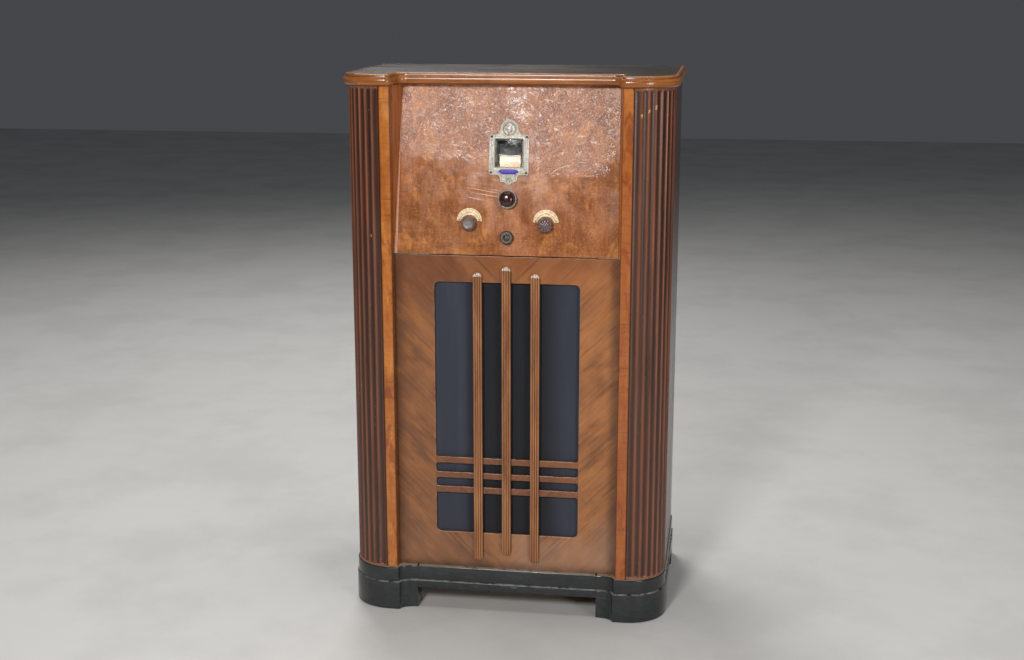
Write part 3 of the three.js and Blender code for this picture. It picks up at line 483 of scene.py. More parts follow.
# pale finish of the tuning knob's dark bead: a painted highlight
BAKELITE_RIM_HIGHLIGHT = simple("bakelite_rim_painted_highlight", (186, 182, 178), (120, 114, 110), 150, (0.14, 0.24), 0.3, 0.00003)
BAKELITE_DULL = simple("bakelite_dull", (112, 94, 90), (74, 58, 52), 300, (0.26, 0.42), 0.0, 0.00012)
BAKELITE_DARK = simple("bakelite_dark", (58, 48, 44), (84, 74, 66), 260, (0.14, 0.28), 0.0, 0.00008)
BAKELITE_SATIN = simple("bakelite_satin", (124, 104, 104), (92, 74, 72), 220, (0.1, 0.2), 0.1, 0.00002)
DUSTY = simple("dusty_knurl", (128, 118, 108), (58, 50, 44), 900, (0.5, 0.7), 0.0, 0.00012)
ENAMEL = simple("blue_enamel", (50, 8, 168), (40, 4, 140), 200, (0.4, 0.5), 0.0, 0.00003)
STEEL = simple("plated_steel", (172, 170, 162), (156, 153, 144), 130, (0.36, 0.46), 0.8, 0.00005)
BLACK_STEEL = simple("black_paint", (30, 31, 33), (46, 46, 46), 260, (0.4, 0.55), 0.0, 0.0002)
ALUMINIUM = simple("spun_aluminium", (188, 188, 184), (156, 156, 150), 90, (0.28, 0.45), 0.95, 0.00006)
PHENOLIC = simple("phenolic_sheet", (140, 96, 50), (110, 70, 34), 300, (0.4, 0.55), 0.0, 0.00006)
PAPER = simple("scale_paper", (206, 178, 156), (190, 148, 112), 60, (0.4, 0.55), 0.0, 0.00005)
INK = simple("printed_ink", (150, 122, 84), (126, 100, 66), 300, (0.6, 0.7), 0.0, 0.00003)
SCALE_INK = simple("scale_ink", (176, 118, 44), (150, 96, 36), 300, (0.5, 0.6), 0.0, 0.00003)
CONE = simple("felted_paper", (66, 58, 50), (48, 42, 38), 300, (0.85, 0.95), 0.0, 0.0004)
RUBBER = simple("black_rubber", (26, 26, 26), (38, 37, 36), 200, (0.6, 0.75), 0.0, 0.0002)
SHADE = simple("shade_black", (46, 46, 44), (34, 34, 32), 120, (0.65, 0.8), 0.0, 0.00008)
SHADE_SIDE = simple("shade_side", (60, 64, 54), (40, 42, 36), 160, (0.5, 0.65), 0.0, 0.00008)
JEWEL_BACK = simple("jewel_foil", (176, 170, 162), (128, 122, 114), 260, (0.4, 0.55), 0.3, 0.0002)
DARK_PLATE = simple("valve_plate", (58, 58, 60), (40, 40, 42), 200, (0.4, 0.6), 0.7, 0.00005)
MICA = simple("mica", (206, 200, 184), (170, 160, 140), 200, (0.3, 0.5), 0.0, 0.00003)
GETTER = simple("getter_mirror", (150, 150, 154), (70, 68, 66), 120, (0.12, 0.3), 1.0, 0.00002)


# ---- Outlines, in mm ----
def arc(cx, cy, r, start, end, steps, ry=None):
    ry = r if ry is None else ry
    turns = [math.radians(start + (end - start) * i / steps) for i in range(steps + 1)]
    return [(cx + r * math.cos(a), cy + ry * math.sin(a)) for a in turns]


def mirror(points):
    return [(-x, y) for x, y in reversed(points)]


def oblong(x0, x1, y0, y1):
    return [(x0, y0), (x1, y0), (x1, y1), (x0, y1)]


def soften(points, radius, steps=4):
    """Rounds the inner corners of an open outline with short curves, radius being the most cut back."""
    out = [points[0]]
    for before, here, after in zip(points, points[1:], points[2:]):
        a, b, c = Vector(before), Vector(here), Vector(after)
        cut = min(radius, (a - b).length * 0.48, (c - b).length * 0.48)
        if cut < 1e-6:
            out.append(here)
            continue
        start, end = b + (a - b).normalized() * cut, b + (c - b).normalized() * cut
        for i in range(steps + 1):
            k = i / steps
            out.append(tuple(start * (1 - k) ** 2 + b * 2 * k * (1 - k) + end * k * k))
    return out + [points[-1]]


def inset(loop, distance):
    """A closed outline moved inwards by a distance, outwards if it is negative."""
    area = sum(a[0] * b[1] - b[0] * a[1] for a, b in zip(loop, loop[1:] + loop[:1]))
    points = [p for p, q in zip(loop, loop[1:] + loop[:1]) if math.dist(p, q) > 1e-4]
    out = []
    for before, here, after in zip(points[-1:] + points, points, points[1:] + points[:1]):
        a = (Vector(here) - Vector(before)).normalized()
        b = (Vector(after) - Vector(here)).normalized()
        inward = Vector((-a.y - b.y, a.x + b.x)) * (1 if area > 0 else -1)
        inward = inward / max(inward.length_squared / 2, 0.4)
        out.append((here[0] + inward.x * distance, here[1] + inward.y * distance))
    return out


def smooth_path(points, per_span=8):
    """Catmull-Rom curve through 3D points."""
    p = [Vector(q) for q in points]
    p = [2 * p[0] - p[1], *p, 2 * p[-1] - p[-2]]
    out = []
    for a, b, c, d in zip(p, p[1:], p[2:], p[3:]):
        for i in range(per_span):
            k = i / per_span
            out.append(0.5 * (2 * b + (c - a) * k + (2 * a - 5 * b + 4 * c - d) * k ** 2
                              + (3 * b - a - 3 * c + d) * k ** 3))
    return out + [p[-2]]


# ---- Shapes ----
def grid(rows, n, closed=True):
    """Faces that join each row of n points to the next one, and round to its start if closed."""
    return [(j * n + i, j * n + (i + 1) % n, (j + 1) * n + (i + 1) % n, (j + 1) * n + i)
            for j in range(rows - 1) for i in range(n if closed else n - 1)]


def end_faces(rows, n):
    """The faces that close the first and the last row."""
    return [list(range(n))[::-1], list(range((rows - 1) * n, rows * n))]


def filled(curve):
    """The vertices and faces of a curve or text, which is then removed."""
    holder = bpy.data.objects.new("outline", curve)
    made = bpy.data.meshes.new_from_object(holder)
    verts, faces = [v.co.copy() for v in made.vertices], [list(f.vertices) for f in made.polygons]
    bpy.data.objects.remove(holder)
    bpy.data.curves.remove(curve)
    bpy.data.meshes.remove(made)
    return verts, faces


class Shape:
    """Vertices and faces gathered for one piece. Lengths in mm; skin picks one of its materials."""

    def __init__(self):
        self.verts, self.faces, self.skins, self.extra = [], [], [], {}

    def add(self, verts, faces, skin=0, place=None, **extra):
        base = len(self.verts)
        points = [Vector((*v, 0.0)[:3]) for v in verts]
        if place is not None:
            points = [place @ v for v in points]
        self.verts += points
        self.faces += [[base + i for i in f] for f in faces]
        self.skins += [skin] * len(faces)
        for name, values in extra.items():
            held = self.extra.setdefault(name, [])
            held += [0.0 if not hasattr(values[0], "__len__") else (0, 0, 0)] * (base - len(held))
            held += list(values)
        return self

    def lathe(self, profile, segments=48, skin=0, place=None, shape=None, turn=360):
        """Turned about local Z. shape(angle, r, h) may change the radius and the height."""
        count = segments if turn == 360 else segments + 1
        verts, rings = [], []
        for r, h in profile:
            if r < 1e-6:
                rings.append([len(verts)] * count)
                verts.append((0, 0, h))
                continue
            rings.append(list(range(len(verts), len(verts) + count)))
            for i in range(count):
                a = math.radians(turn) * i / segments
                q, up = shape(a, r, h) if shape else (r, h)
                verts.append((q * math.cos(a), q * math.sin(a), up))
        faces = []
        for low, high in zip(rings, rings[1:]):
            for i in range(segments):
                j = (i + 1) % count
                face = list(dict.fromkeys((low[i], low[j], high[j], high[i])))
                if len(face) > 2:
                    faces.append(face)
        return self.add(verts, faces, skin, place)

    def plate(self, loops, low, high, edge=0.0, steps=3, skin=0, place=None):
        """A flat outline with holes, from low to high along local Z, its edges rounded by edge."""
        curve = bpy.data.curves.new("outline", "CURVE")
        curve.dimensions, curve.fill_mode = "2D", "BOTH"
        curve.extrude, curve.bevel_depth = (high - low) / 2 - edge, edge
        curve.bevel_resolution, curve.offset = steps, -edge
        for k, loop in enumerate(loops):
            area = sum(a[0] * b[1] - b[0] * a[1] for a, b in zip(loop, loop[1:] + loop[:1]))
            if (area > 0) == bool(k):
                loop = loop[::-1]
            spline = curve.splines.new("POLY")
            spline.points.add(len(loop) - 1)
            for point, (x, y) in zip(spline.points, loop):
                point.co = (x, y, 0, 1)
            spline.use_cyclic_u = True
        verts, faces = filled(curve)
        middle = Vector((0, 0, (low + high) / 2))
        return self.add([v + middle for v in verts], faces, skin, place)

    def brick(self, x0, x1, y0, y1, z0, z1, skin=0, place=None):
        verts = [(x, y, z) for x in (x0, x1) for y in (y0, y1) for z in (z0, z1)]
        faces = [(0, 1, 3, 2), (4, 6, 7, 5), (0, 4, 5, 1), (2, 3, 7, 6), (0, 2, 6, 4), (1, 5, 7, 3)]
        return self.add(verts, faces, skin, place)

    def tube(self, path, radius, sides=10, skin=0):
        """A round tube along a list of 3D points, carried without twisting."""
        points = [Vector(p) for p in path]
        side = None
        verts, grain = [], []
        along = 0.0
        for i, p in enumerate(points):
            ahead = (points[min(i + 1, len(points) - 1)] - points[max(i - 1, 0)]).normalized()
            if side is None:
                side = ahead.orthogonal().normalized()
            side = (side - ahead * side.dot(ahead)).normalized()
            other = ahead.cross(side)
            if i:
                along += (p - points[i - 1]).length
            r = radius[i] if hasattr(radius, "__len__") else radius
            for k in range(sides):
                a = 2 * math.pi * k / sides
                verts.append(p + (side * math.cos(a) + other * math.sin(a)) * r)
                grain.append((along * MM, k / sides * 0.02, 0))
        faces = grid(len(points), sides) + end_faces(len(points), sides)
        return self.add(verts, faces, skin, grain=grain)

    def loft(self, rings, skin=0, place=None, caps=False):
        """Joins closed rings of equal point counts, one after another."""
        size = len(rings), len(rings[0])
        faces = grid(*size) + (end_faces(*size) if caps else [])
        return self.add([p for ring in rings for p in ring], faces, skin, place)

    def border(self, loop, section, skin=0, place=None):
        """A rim round a closed outline: section is a closed list of (inset from the outline, height)."""
        rings = [[(x, y, z) for x, y in inset(loop, d)] for d, z in section]
        return self.loft([*rings, rings[0]], skin, place)

    def moulding(self, path, section):
        """A closed (outward, up) section swept along a plan path with mitred corners."""
        verts, grain, along = [], [], 0.0
        for i, (x, y) in enumerate(path):
            here = Vector((x, y))
            before = here - Vector(path[max(i - 1, 0)])
            after = Vector(path[min(i + 1, len(path) - 1)]) - here
            along += before.length
            before = (before if i else after).normalized()
            after = (after if i < len(path) - 1 else before).normalized()
            out = Vector((before.y + after.y, -before.x - after.x)).normalized()
            stretch = 1 / out.dot(Vector((before.y, -before.x)))
            for u, z in section:
                verts.append((x + out.x * u * stretch, y + out.y * u * stretch, z))
                grain.append((along * MM, u * MM, z * MM))
        size = len(path), len(section)
        return self.add(verts, grid(*size) + end_faces(*size), grain=grain)


def piece(name, shape, finish, body="cabinet", slot=None, instead=(), place=CABINET_PLACE, sharp=35,
          bevel=0.0, shadow=True):
    """Makes an object of a Shape in mm, rides it on a body and hides the CAD nodes it stands for."""
    mesh = bpy.data.meshes.new(name)
    mesh.from_pydata([place @ v for v in shape.verts], [], shape.faces)
    for finish_of in finish if isinstance(finish, (list, tuple)) else [finish]:
        mesh.materials.append(finish_of)
    mesh.polygons.foreach_set("material_index", shape.skins)
    for key, values in shape.extra.items():
        vectors = hasattr(values[0], "__len__")
        values = list(values) + [(0, 0, 0) if vectors else 0.0] * (len(mesh.vertices) - len(values))
        layer = mesh.attributes.new(key, "FLOAT_VECTOR" if vectors else "FLOAT", "POINT")
        layer.data.foreach_set("vector" if vectors else "value", np.array(values, np.float32).ravel())
    work = bmesh.new()
    work.from_mesh(mesh)
    bmesh.ops.remove_doubles(work, verts=work.verts, dist=2e-6)
    bmesh.ops.recalc_face_normals(work, faces=work.faces)
    work.to_mesh(mesh)
    work.free()
    mesh.shade_smooth()
    mesh.set_sharp_from_angle(angle=math.radians(sharp))
    made = bpy.data.objects.new(name, mesh)
    scene.collection.objects.link(made)
    made.visible_shadow = shadow
    if bevel:
        soften_edges(made, bevel)
    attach(made, body)
    if instead:
        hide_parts(*([instead] if isinstance(instead, str) else instead))
    return made


def soften_edges(obj, width, steps=2, angle=40):
    rounder = obj.modifiers.new("edges", "BEVEL")
    rounder.width, rounder.segments = width * MM, steps
    rounder.limit_method, rounder.angle_limit = "ANGLE", math.radians(angle)
    rounder.harden_normals = False


def keep(node, finish, bevel=0.0):
    """A CAD node whose shape is right: it gets its material, and its edges a small radius."""
    obj = nodes[node]
    obj.data.materials.clear()
    obj.data.materials.append(finish)
    if bevel:
        soften_edges(obj, bevel)
    return obj


def dome(x, y, r, height, place, shape, skin=0, segments=16):
    """A round-headed pin standing on local Z = 0."""
    at = place @ Matrix.Translation((x, y, 0))
    shape.lathe([(0, height)] + [(r * math.sin(a), height * math.cos(a)) for a in
                                 (math.pi / 2 * k / 4 for k in range(1, 5))] + [(r, -0.6), (0, -0.6)],
                segments, skin, at)


# ---- Cabinet ----
STRIP_OUT, STRIP_IN, COLUMN_R, HALF = 229.0, 209.0, 70.0, 299.0
low, high = column_lo.z / MM, column_hi.z / MM
FLUTES, FLUTE_STEPS, FLUTE_DEPTH = 8, 10, 2.4
for hand, side in ((-1, "left"), (1, "right")):
    # flutes run out in round stops a little short of both ends
    stops = [0.0, 0.4, 1.2, 2.4, 3.8, 5.4]
    rows = [(low + 0.05, 0.0), *[(low + 3.0 + q, math.sqrt(q / 5.4 * (2 - q / 5.4))) for q in stops]]
    rows += [(high - z + low, share) for z, share in reversed(rows)]
    verts, depth = [], []
    for z, share in rows:
        for i in range(FLUTES * FLUTE_STEPS + 1):
            turn = math.radians(270 - 90 * i / (FLUTES * FLUTE_STEPS))
            hollow = share * math.sin(math.pi * (i % FLUTE_STEPS) / FLUTE_STEPS) ** 0.8
            r = COLUMN_R - FLUTE_DEPTH * hollow
            verts.append((-hand * (-STRIP_OUT + r * math.cos(turn)), COLUMN_R + r * math.sin(turn), z))
            depth.append(hollow)
        verts += [(hand * (STRIP_OUT + 42), COLUMN_R, z), (hand * STRIP_OUT, 27, z)]
        depth += [0.6, 0.6]
    n = FLUTES * FLUTE_STEPS + 3
    faces = grid(len(rows), n) + end_faces(len(rows), n)
    column = Shape().add(verts, faces, depth=depth)
    column.skins = [1 if min(f[i] % n for i in range(4)) >= n - 3 and len(f) == 4 else 0 for f in faces]
    piece(f"{side}_fluted_column", column, [MAHOGANY, PLY], slot="red_brown_wood", instead=f"{side}_column",
          sharp=28)
    # strip: lacquered face with a small radius on both front edges
    strip = [(-STRIP_OUT + 0.3, 1.0), *arc(-STRIP_OUT + 1.3, 1.0, 1.0, 180, 270, 4),
             *arc(-STRIP_IN - 2.5, 2.5, 2.5, -90, 0, 6), (-STRIP_IN, 21.7), (-STRIP_OUT + 0.3, 21.7)]
    strip = strip if hand < 0 else mirror(strip)
    piece(f"{side}_golden_strip", Shape().plate([strip], low, high), GOLD, slot="golden_veneer",
          instead=f"{side}_strip", sharp=50)
    keep(f"{side}_cheek", CHEEK, 0.6)
    keep(f"{side}_side_panel", SIDE, 0.8)

# ---- Top ----
TOP_BACK, CENTRE_Y, BLOCK_IN, SWEEP = 372.0, 63.0, 213.0, 24.0
BOARD_HALF, BOARD_R = HALF - 1, COLUMN_R - 1
seam = -BLOCK_IN + SWEEP + 2
edge = [(-BOARD_HALF, TOP_BACK), *arc(-BOARD_HALF + BOARD_R, BOARD_R, BOARD_R, 180, 270, 30),
        *arc(-BLOCK_IN - 3, 3, 3, 270, 360, 6), *arc(-BLOCK_IN + SWEEP, CENTRE_Y - SWEEP, SWEEP, 180, 90, 14),
        (seam, CENTRE_Y)]
u, t0 = UNDER_TOP / MM, top_hi.z / MM + 0.6
nose = [(0, u), (5.5, u), (6.2, u + 0.8), (9.2, u + 2.6), (10, u + 7), (9.6, u + 11.4), (8.0, u + 14.4),
        (6.7, u + 15.6), (5.9, u + 15.2), (5.5, u + 16.4), (4.9, t0 - 1.6), (3.4, t0 - 0.1), (2, t0)]
nose = soften(nose, 2.2, 4) + [(0, t0)]
middle = [(seam + 0.3, CENTRE_Y), (-seam - 0.3, CENTRE_Y)]
for path, name, node in ((edge, "left_nosing", "nosing_left"), (mirror(edge), "right_nosing", "nosing_right"),
                         (middle, "centre_nosing", "nosing_center")):
    piece(name, Shape().moulding(path, nose), NOSING, slot="nosing_wood", instead=node, sharp=40)
keep("top_board", TOP, 0.4)

# ---- Panels, grille and cloth ----
keep("control_panel", WALNUT, 0.5)
OPEN = (135.5, 155.0, 643.0)
CROSS = (234.0, 246.0, 263.0, 274.5, 292.5, 304.5)


def rounded_box(e, low_z, high_z, r_low, r_high):
    """An outline of half-width e, with its own corner radius below and above."""
    corners = ((-e + r_low, low_z + r_low, r_low, 180), (e - r_low, low_z + r_low, r_low, 270),
               (e - r_high, high_z - r_high, r_high, 0), (-e + r_high, high_z - r_high, r_high, 90))
    return [p for x, z, r, start in corners for p in arc(x, z, r, start, start + 90, 8)]


x1, z0, z1 = panel_hi.x / MM, panel_lo.z / MM, panel_hi.z / MM
levels = (OPEN[1], *CROSS, OPEN[2])
holes = [rounded_box(OPEN[0], a, b, 10 if a == OPEN[1] else 4.5, 10 if b == OPEN[2] else 4.5)
         for a, b in zip(levels[::2], levels[1::2])]
face = Shape().plate([oblong(-x1, x1, z0, z1), *holes], -30, -22, 0.9, 3, place=FRONT)
piece("lower_panel", face, CHEVRON, slot="walnut_panel", instead="front_panel", sharp=30)

BAR_HALF, REEDS, BAR_DEEP = 8.6, 4, 5.5
for node, middle, low_z, high_z in (("grille_bar_left", -53.6, 102, 662), ("grille_bar_center", 0, 114, 674),
                                    ("grille_bar_right", 53.6, 102, 662)):
    ends = [BAR_HALF * (1 - math.cos(math.radians(90 * k / 10))) for k in range(11)]
    rows = [low_z + e for e in ends] + [high_z - e for e in reversed(ends)]
    reed = BAR_HALF / REEDS
    across = [-BAR_HALF + 2 * BAR_HALF * i / (REEDS * 8) for i in range(REEDS * 8 + 1)]
    verts, depth, wear = [], [], []
    for z in rows:
        e = min(z - low_z, high_z - z)
        half = math.sqrt(max(BAR_HALF ** 2 - (BAR_HALF - min(e, BAR_HALF)) ** 2, 0.01))
        drop = 1.1 * (1 - min(e / 5, 1)) ** 2
        line = [(max(-half, min(half, x)), x) for x in (-BAR_HALF, *across, BAR_HALF)]
        for k, (x, _) in enumerate(line):
            nth = math.floor(min(x + BAR_HALF, 2 * BAR_HALF - 1e-6) / (2 * reed))
            centre = (nth + 0.5) * 2 * reed - BAR_HALF
            rise = math.sqrt(max(reed ** 2 - (x - centre) ** 2, 0)) ** 0.9
            at_back = k in (0, len(line) - 1)
            verts.append((middle + x, 21.7 if at_back else 21.7 - BAR_DEEP + drop - rise, z))
            depth.append(0.8 if at_back else 1 - rise / reed)
            # the rounded top of each bar takes pale chips and a painted highlight
            wear.append(1.0 if high_z - z < 6.5 and not at_back else 0.0)
    n = len(across) + 2
    back = [r * n for r in range(len(rows))] + [r * n + n - 1 for r in reversed(range(len(rows)))]
    faces = [*grid(len(rows), n, closed=False), back, *end_faces(len(rows), n)]
    bar = Shape().add(verts, faces, depth=depth, wear=wear)
    piece(node.replace("grille_bar", "reeded_bar"), bar, BAR, slot="golden_veneer", instead=node, sharp=40)

cloth_lo, cloth_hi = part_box("grille_cloth")
wide, tall = (cloth_hi.x - cloth_lo.x) / MM, (cloth_hi.z - cloth_lo.z) / MM
cols, rows = 60, 100
verts = []
for j in range(rows + 1):
    for i in range(cols + 1):
        x, z = -wide / 2 + wide * i / cols, cloth_lo.z / MM + tall * j / rows
        sag = 0.22 * math.sin(x / 21 + 0.6 * math.sin(z / 90)) + 0.12 * math.sin(x / 9 + z / 60)
        verts.append((x, 30.75 + sag, z))
fabric = Shape().add(verts, grid(rows + 1, cols + 1, closed=False))
cloth = piece("grille_fabric", fabric, CLOTH, slot="cloth", instead="grille_cloth")
for board, edge_round in (("speaker_board", 0.6), ("bottom_board", 0.8), ("chassis_shelf", 1.0),
                          ("base_rear_rail", 1.0)):
    keep(board, PLY, edge_round)

# ---- Base ----
TIER, BASE_H = 55.5, 85.0


def corner_plan(inset):
    front_y, side_x, r = -5 + inset, -303.5 + inset, 75 - inset
    return [(side_x, 109.7), *arc(side_x + r, front_y + r, r, 180, 270, 36), (-205 - inset, front_y),
            *arc(-175, front_y, 30 + inset, 180, 90, 16, 16.5)[1:], (-172.3, 11.5 + inset), (-172.3, 46),
            (-259.5, 109.7)]


for hand, side in ((1, "left"), (-1, "right")):
    block = Shape()
    for step, a, b, edge_r in ((0, 0, TIER - 0.3, 1.4), (2, TIER + 0.2, BASE_H, 3.2),
                               (3.6, TIER - 2, TIER + 2, 0)):
        plan = corner_plan(step)
        block.plate([plan if hand > 0 else mirror(plan)], a, b, edge_r, 3)
    piece(f"base_block_{side}", block, BLACK, slot="black_lacquer", instead=f"base_corner_{side}", sharp=30)
    x_out, x_low, x_up = 303.5, 277.5, 273.5
    rail = Shape()
    low_side = [(110, 40), *arc(288, 28, 12, 90, 0, 8), (300, 0), (366, 0), (366, TIER - 0.3),
                (110, TIER - 0.3)]
    for loop, xa, xb, edge_r in ((low_side, x_low, x_out, 1.2),
                                 (oblong(110, 366, TIER + 0.2, BASE_H), x_up, x_out - 2, 2.6),
                                 (oblong(112, 364, TIER - 2, TIER + 2), x_up + 4, x_out - 3.6, 0)):
        a, b = (xa, xb) if hand < 0 else (-xb, -xa)
        rail.plate([loop], a, b, edge_r, 3, place=SIDEWAYS)
    piece(f"base_rail_{side}", rail, BLACK, slot="black_lacquer", instead=f"base_side_{side}", sharp=30)
centre = Shape().plate([oblong(-172, 172, 11.5, 32)], 40, TIER - 0.3, 1.2, 3)
centre.plate([oblong(-172, 172, 13.5, 40)], TIER + 0.2, BASE_H, 2.6, 3)
centre.plate([oblong(-171, 171, 15.1, 31)], TIER - 2, TIER + 2)
piece("base_centre", centre, BLACK, slot="black_lacquer", instead="base_front", sharp=30)

# ---- Fittings of the control panel ----
TUNING_AT, VOLUME_AT, TONE_AT, BAND_AT = (0, 102.4), (-70.5, 56.5), (70.5, 56.5), (0, 32.6)


def fitting(name, shape, finish, body="cabinet", slot=None, instead=(), **more):
    return piece(name, shape, finish, body, slot, instead, place=PANEL_PLACE, **more)


def box_loop(half, low, high, r=0.8):
    return rounded_box(half, low, high, r, r)


WINDOW = (25.0, 161.0, 211.0)
JEWEL_V = 230.0
ear = (32.4, 215.4)
half_plate = [*arc(*ear, 4.2, 0, 120, 10),
              *soften([(26, 219.4), (21, 221.6), (17.6, 226), (16.6, 231), (16.6, 236.5), (6.4, 246.6),
                       (3, JEWEL_V + 17.4)], 2.2, 4)]
half_foot = soften([(0, 127.6), (3.4, 129), (6.2, 132.4), (8.4, 133.2), (14.6, 133.8), (16.4, 137),
                    (15.4, 141.4), (19.4, 146.6), (35, 146.6), (36.6, 148.4)], 1.8, 4)
outline = [*half_plate, *mirror(half_plate), *mirror(half_foot), *half_foot[1:]]
window = box_loop(*WINDOW)
plate = Shape().plate([outline, window, arc(0, JEWEL_V, 10.7, 0, 352, 44)], 0.3, 2.4, 0.4, place=FRONT)
plate.border(outline, [(0.1, 2.2), (0.3, 2.95), (0.9, 3.2), (1.7, 2.95), (2.0, 2.2)], 2, place=FRONT)
plate.border(outline, [(2.7, 2.3), (2.9, 2.62), (3.3, 2.62), (3.5, 2.3)], place=FRONT)
plate.border(window, [(-2.5, 2.2), (-2.3, 3.8), (-1.6, 4.2), (-0.9, 4.05), (0.02, 2.6), (0.02, -0.2)],
             place=FRONT)
plate.border(window, [(-3.6, 2.2), (-3.4, 2.9), (-2.9, 2.9), (-2.7, 2.2)], 2, place=FRONT)
bezel = soften([(10.6, 0.4), (10.6, 2.2), (11.3, 3.6), (12.4, 3.6), (13, 2.2), (13, 0.4)], 0.5, 3)
plate.lathe([*bezel, bezel[0]], 64, place=at_panel(0, JEWEL_V))
for x in (28.5, 31.5, 34.5):
    for hand in (-1, 1):
        rib = [(hand * x, -2.2, v) for v in (154.8, 155.2, 156, 209.4, 210.2, 210.6)]
        plate.tube(rib, [0.3, 0.8, 1.15, 1.15, 0.8, 0.3], 10, skin=2)
for hand in (-1, 1):
    for v in (ear[1], 150.4):
        dome(hand * 32.4, v, 2.4, 1.7, at_panel(0, 0, -2.3), plate, skin=1)
    for k in range(4):  # leaves of the small ornament on the foot
        turn = math.radians(30 + 32 * k)
        leaf = [(hand * d * math.sin(turn), -2.2, 139.5 - d * math.cos(turn)) for d in (2.2, 4, 6, 7.4)]
        plate.tube(leaf, [0.5, 1.1, 0.8, 0.2], 8)
dome(0, 139.5, 2.0, 1.5, at_panel(0, 0, -2.3), plate)
fitting("escutcheon_plate", plate, [NICKEL, DARK_NICKEL, BRIGHT_NICKEL], slot="plate_metal",
        instead="escutcheon")

lozenge = [(-19, 152.3), (-13, 156.6), (13, 156.6), (19, 152.3), (13, 148), (-13, 148)]
badge = Shape().plate([inset(lozenge, 0.7)], 2.9, 4.1, 0.25, place=FRONT)
badge.border(lozenge, [(0.05, 2.9), (0.05, 4.0), (0.35, 4.35), (0.7, 4.2), (0.9, 3.4), (0.9, 2.9)],
             place=FRONT)
fitting("plain_lozenge", badge, ENAMEL, slot="enamel", instead="badge")

lens = Shape()
for section, segments, skin in (
        ([(0, -6), (7.5, -6), (7.6, -5.4), (7.6, 0.6), (10, 0.6), (10.1, 0.8), (10.1, 1.6)], 48, 1),  # shank
        ([(10.1, 1.6), (9.4, 2.5), (7.2, 3.7), (4, 4.6), (0, 5)], 18, 0),  # faceted dome
        ([(9.9, 0.9), (8, 1.1), (5, 1.9), (2.6, 2.3), (0, 2.4)], 48, 1)):  # foil behind it
    lens.lathe(section, segments, skin, at_panel(0, JEWEL_V))
fitting("jewel_lens", lens, [JEWEL, JEWEL_BACK], slot="jewel_glass", instead="pilot_jewel", sharp=12,
        shadow=False)

pane = Shape().plate([box_loop(25.6, 160.4, 211.6, 1.2)], -1.8, -0.4, 0.15, place=FRONT)
fitting("window_glass", pane, GLASS, slot="glass", instead="dial_glass", shadow=False)

DRUM_W, DRUM_V, DRUM_R = 54.0, 172.0, 40.0
shade = Shape()


def on_drum(x, turn, r):
    """A point at a turn up from the front of the drum's axis, and at a radius from it."""
    a = math.radians(turn)
    return (x, DRUM_W - r * math.cos(a), DRUM_V + r * math.sin(a))


# the blade narrows and dips towards its lip, like the funnel it closes
across, along = 16, 14
verts = []
for r in (DRUM_R + 2, DRUM_R + 3.2):
    for j in range(along + 1):
        share = j / along
        for i in range(across + 1):
            u = 2 * i / across - 1
            low = 13.5 + 3.0 * u * u
            verts.append(on_drum(u * (18.9 + 5.1 * share), low + (62 - low) * share, r))
n = (along + 1) * (across + 1)
quads = grid(along + 1, across + 1, closed=False)
ring = [*range(across + 1), *((j + 1) * (across + 1) - 1 for j in range(1, along + 1)),
        *(n - 2 - i for i in range(across)), *(j * (across + 1) for j in reversed(range(1, along)))]
walls = [(a, b, b + n, a + n) for a, b in zip(ring, ring[1:] + ring[:1])]
shade.add(verts, [*quads, *[tuple(v + n for v in reversed(q)) for q in quads], *walls])
bracket = [(8.3, 217), (12, 217), (28, 213.5), (30, 214.5), (12.4, 219), (10.6, 219), (10.6, 227), (8.3, 227)]
shade.plate([bracket], -24, 24, 0.2, place=SIDEWAYS)
lip = [on_drum((2 * i / 24 - 1) * 18.9, 13.5 + 3.0 * (2 * i / 24 - 1) ** 2, DRUM_R + 2.8) for i in range(25)]
shade.tube(lip, 0.8, 10, skin=1)
for hand in (-1, 1):  # side walls of the funnel, clear of the drum
    wall = [(hand * x, w, v) for w, v, x in
            ((3, 161.6, 24), (12.6, 161.6, 19.2), (12.6, 178, 19.2), (14.6, 187, 19.8), (19, 198, 21),
             (11, 212, 24), (3, 212, 24))]
    n = len(wall)
    shade.add(wall + [(x - hand * 0.8, w, v) for x, w, v in wall],
              [list(range(n)), list(range(2 * n))[:n - 1:-1], *grid(2, n)], 2)
fitting("drum_shade", shade, [SHADE, STEEL, SHADE_SIDE], slot="bakelite", instead="dial_shade", sharp=25)

for name, (x, v) in (("left", VOLUME_AT), ("right", TONE_AT)):
    crescent = [*arc(x, v + 5.4, 23.3, 0, 180, 40), *arc(x, v, 16.2, 160.5, 19.5, 30)]
    scale = Shape().plate([crescent], 0.3, 1.0, 0.15, place=FRONT)
    for r, start in ((20.9, 14), (18.6, 9), (18.0, 9)):
        lift = 5.4 if r > 19 else 2.6
        turns = arc(x, v + lift, r, start, 180 - start, 30)
        scale.tube([(a, -0.98, b) for a, b in turns], 0.16, 5, skin=1)
    for k in range(9):
        turn = math.radians(22 + 17 * k)
        tick = [(x + r * math.cos(turn), -0.98, v + 5.4 + r * math.sin(turn)) for r in (19.4, 22.2)]
        scale.tube(tick, 0.2, 5, skin=1)
    for hand in (-1, 1):
        dome(x + hand * 19.2, v + 7.6, 1.15, 0.9, at_panel(0, 0, -1.0), scale, skin=2)
    fitting(f"{name}_crescent", scale, [GOLD_PLATE, INK, DARK_NICKEL], slot="plate_metal",
            instead=f"{name}_scale_plate")

# ---- Knobs: turned bakelite, each with its bore for the shaft ----
KNOB_LIFT, BORE_R, BORE_DEEP = 1.6, 3.4, 8.0


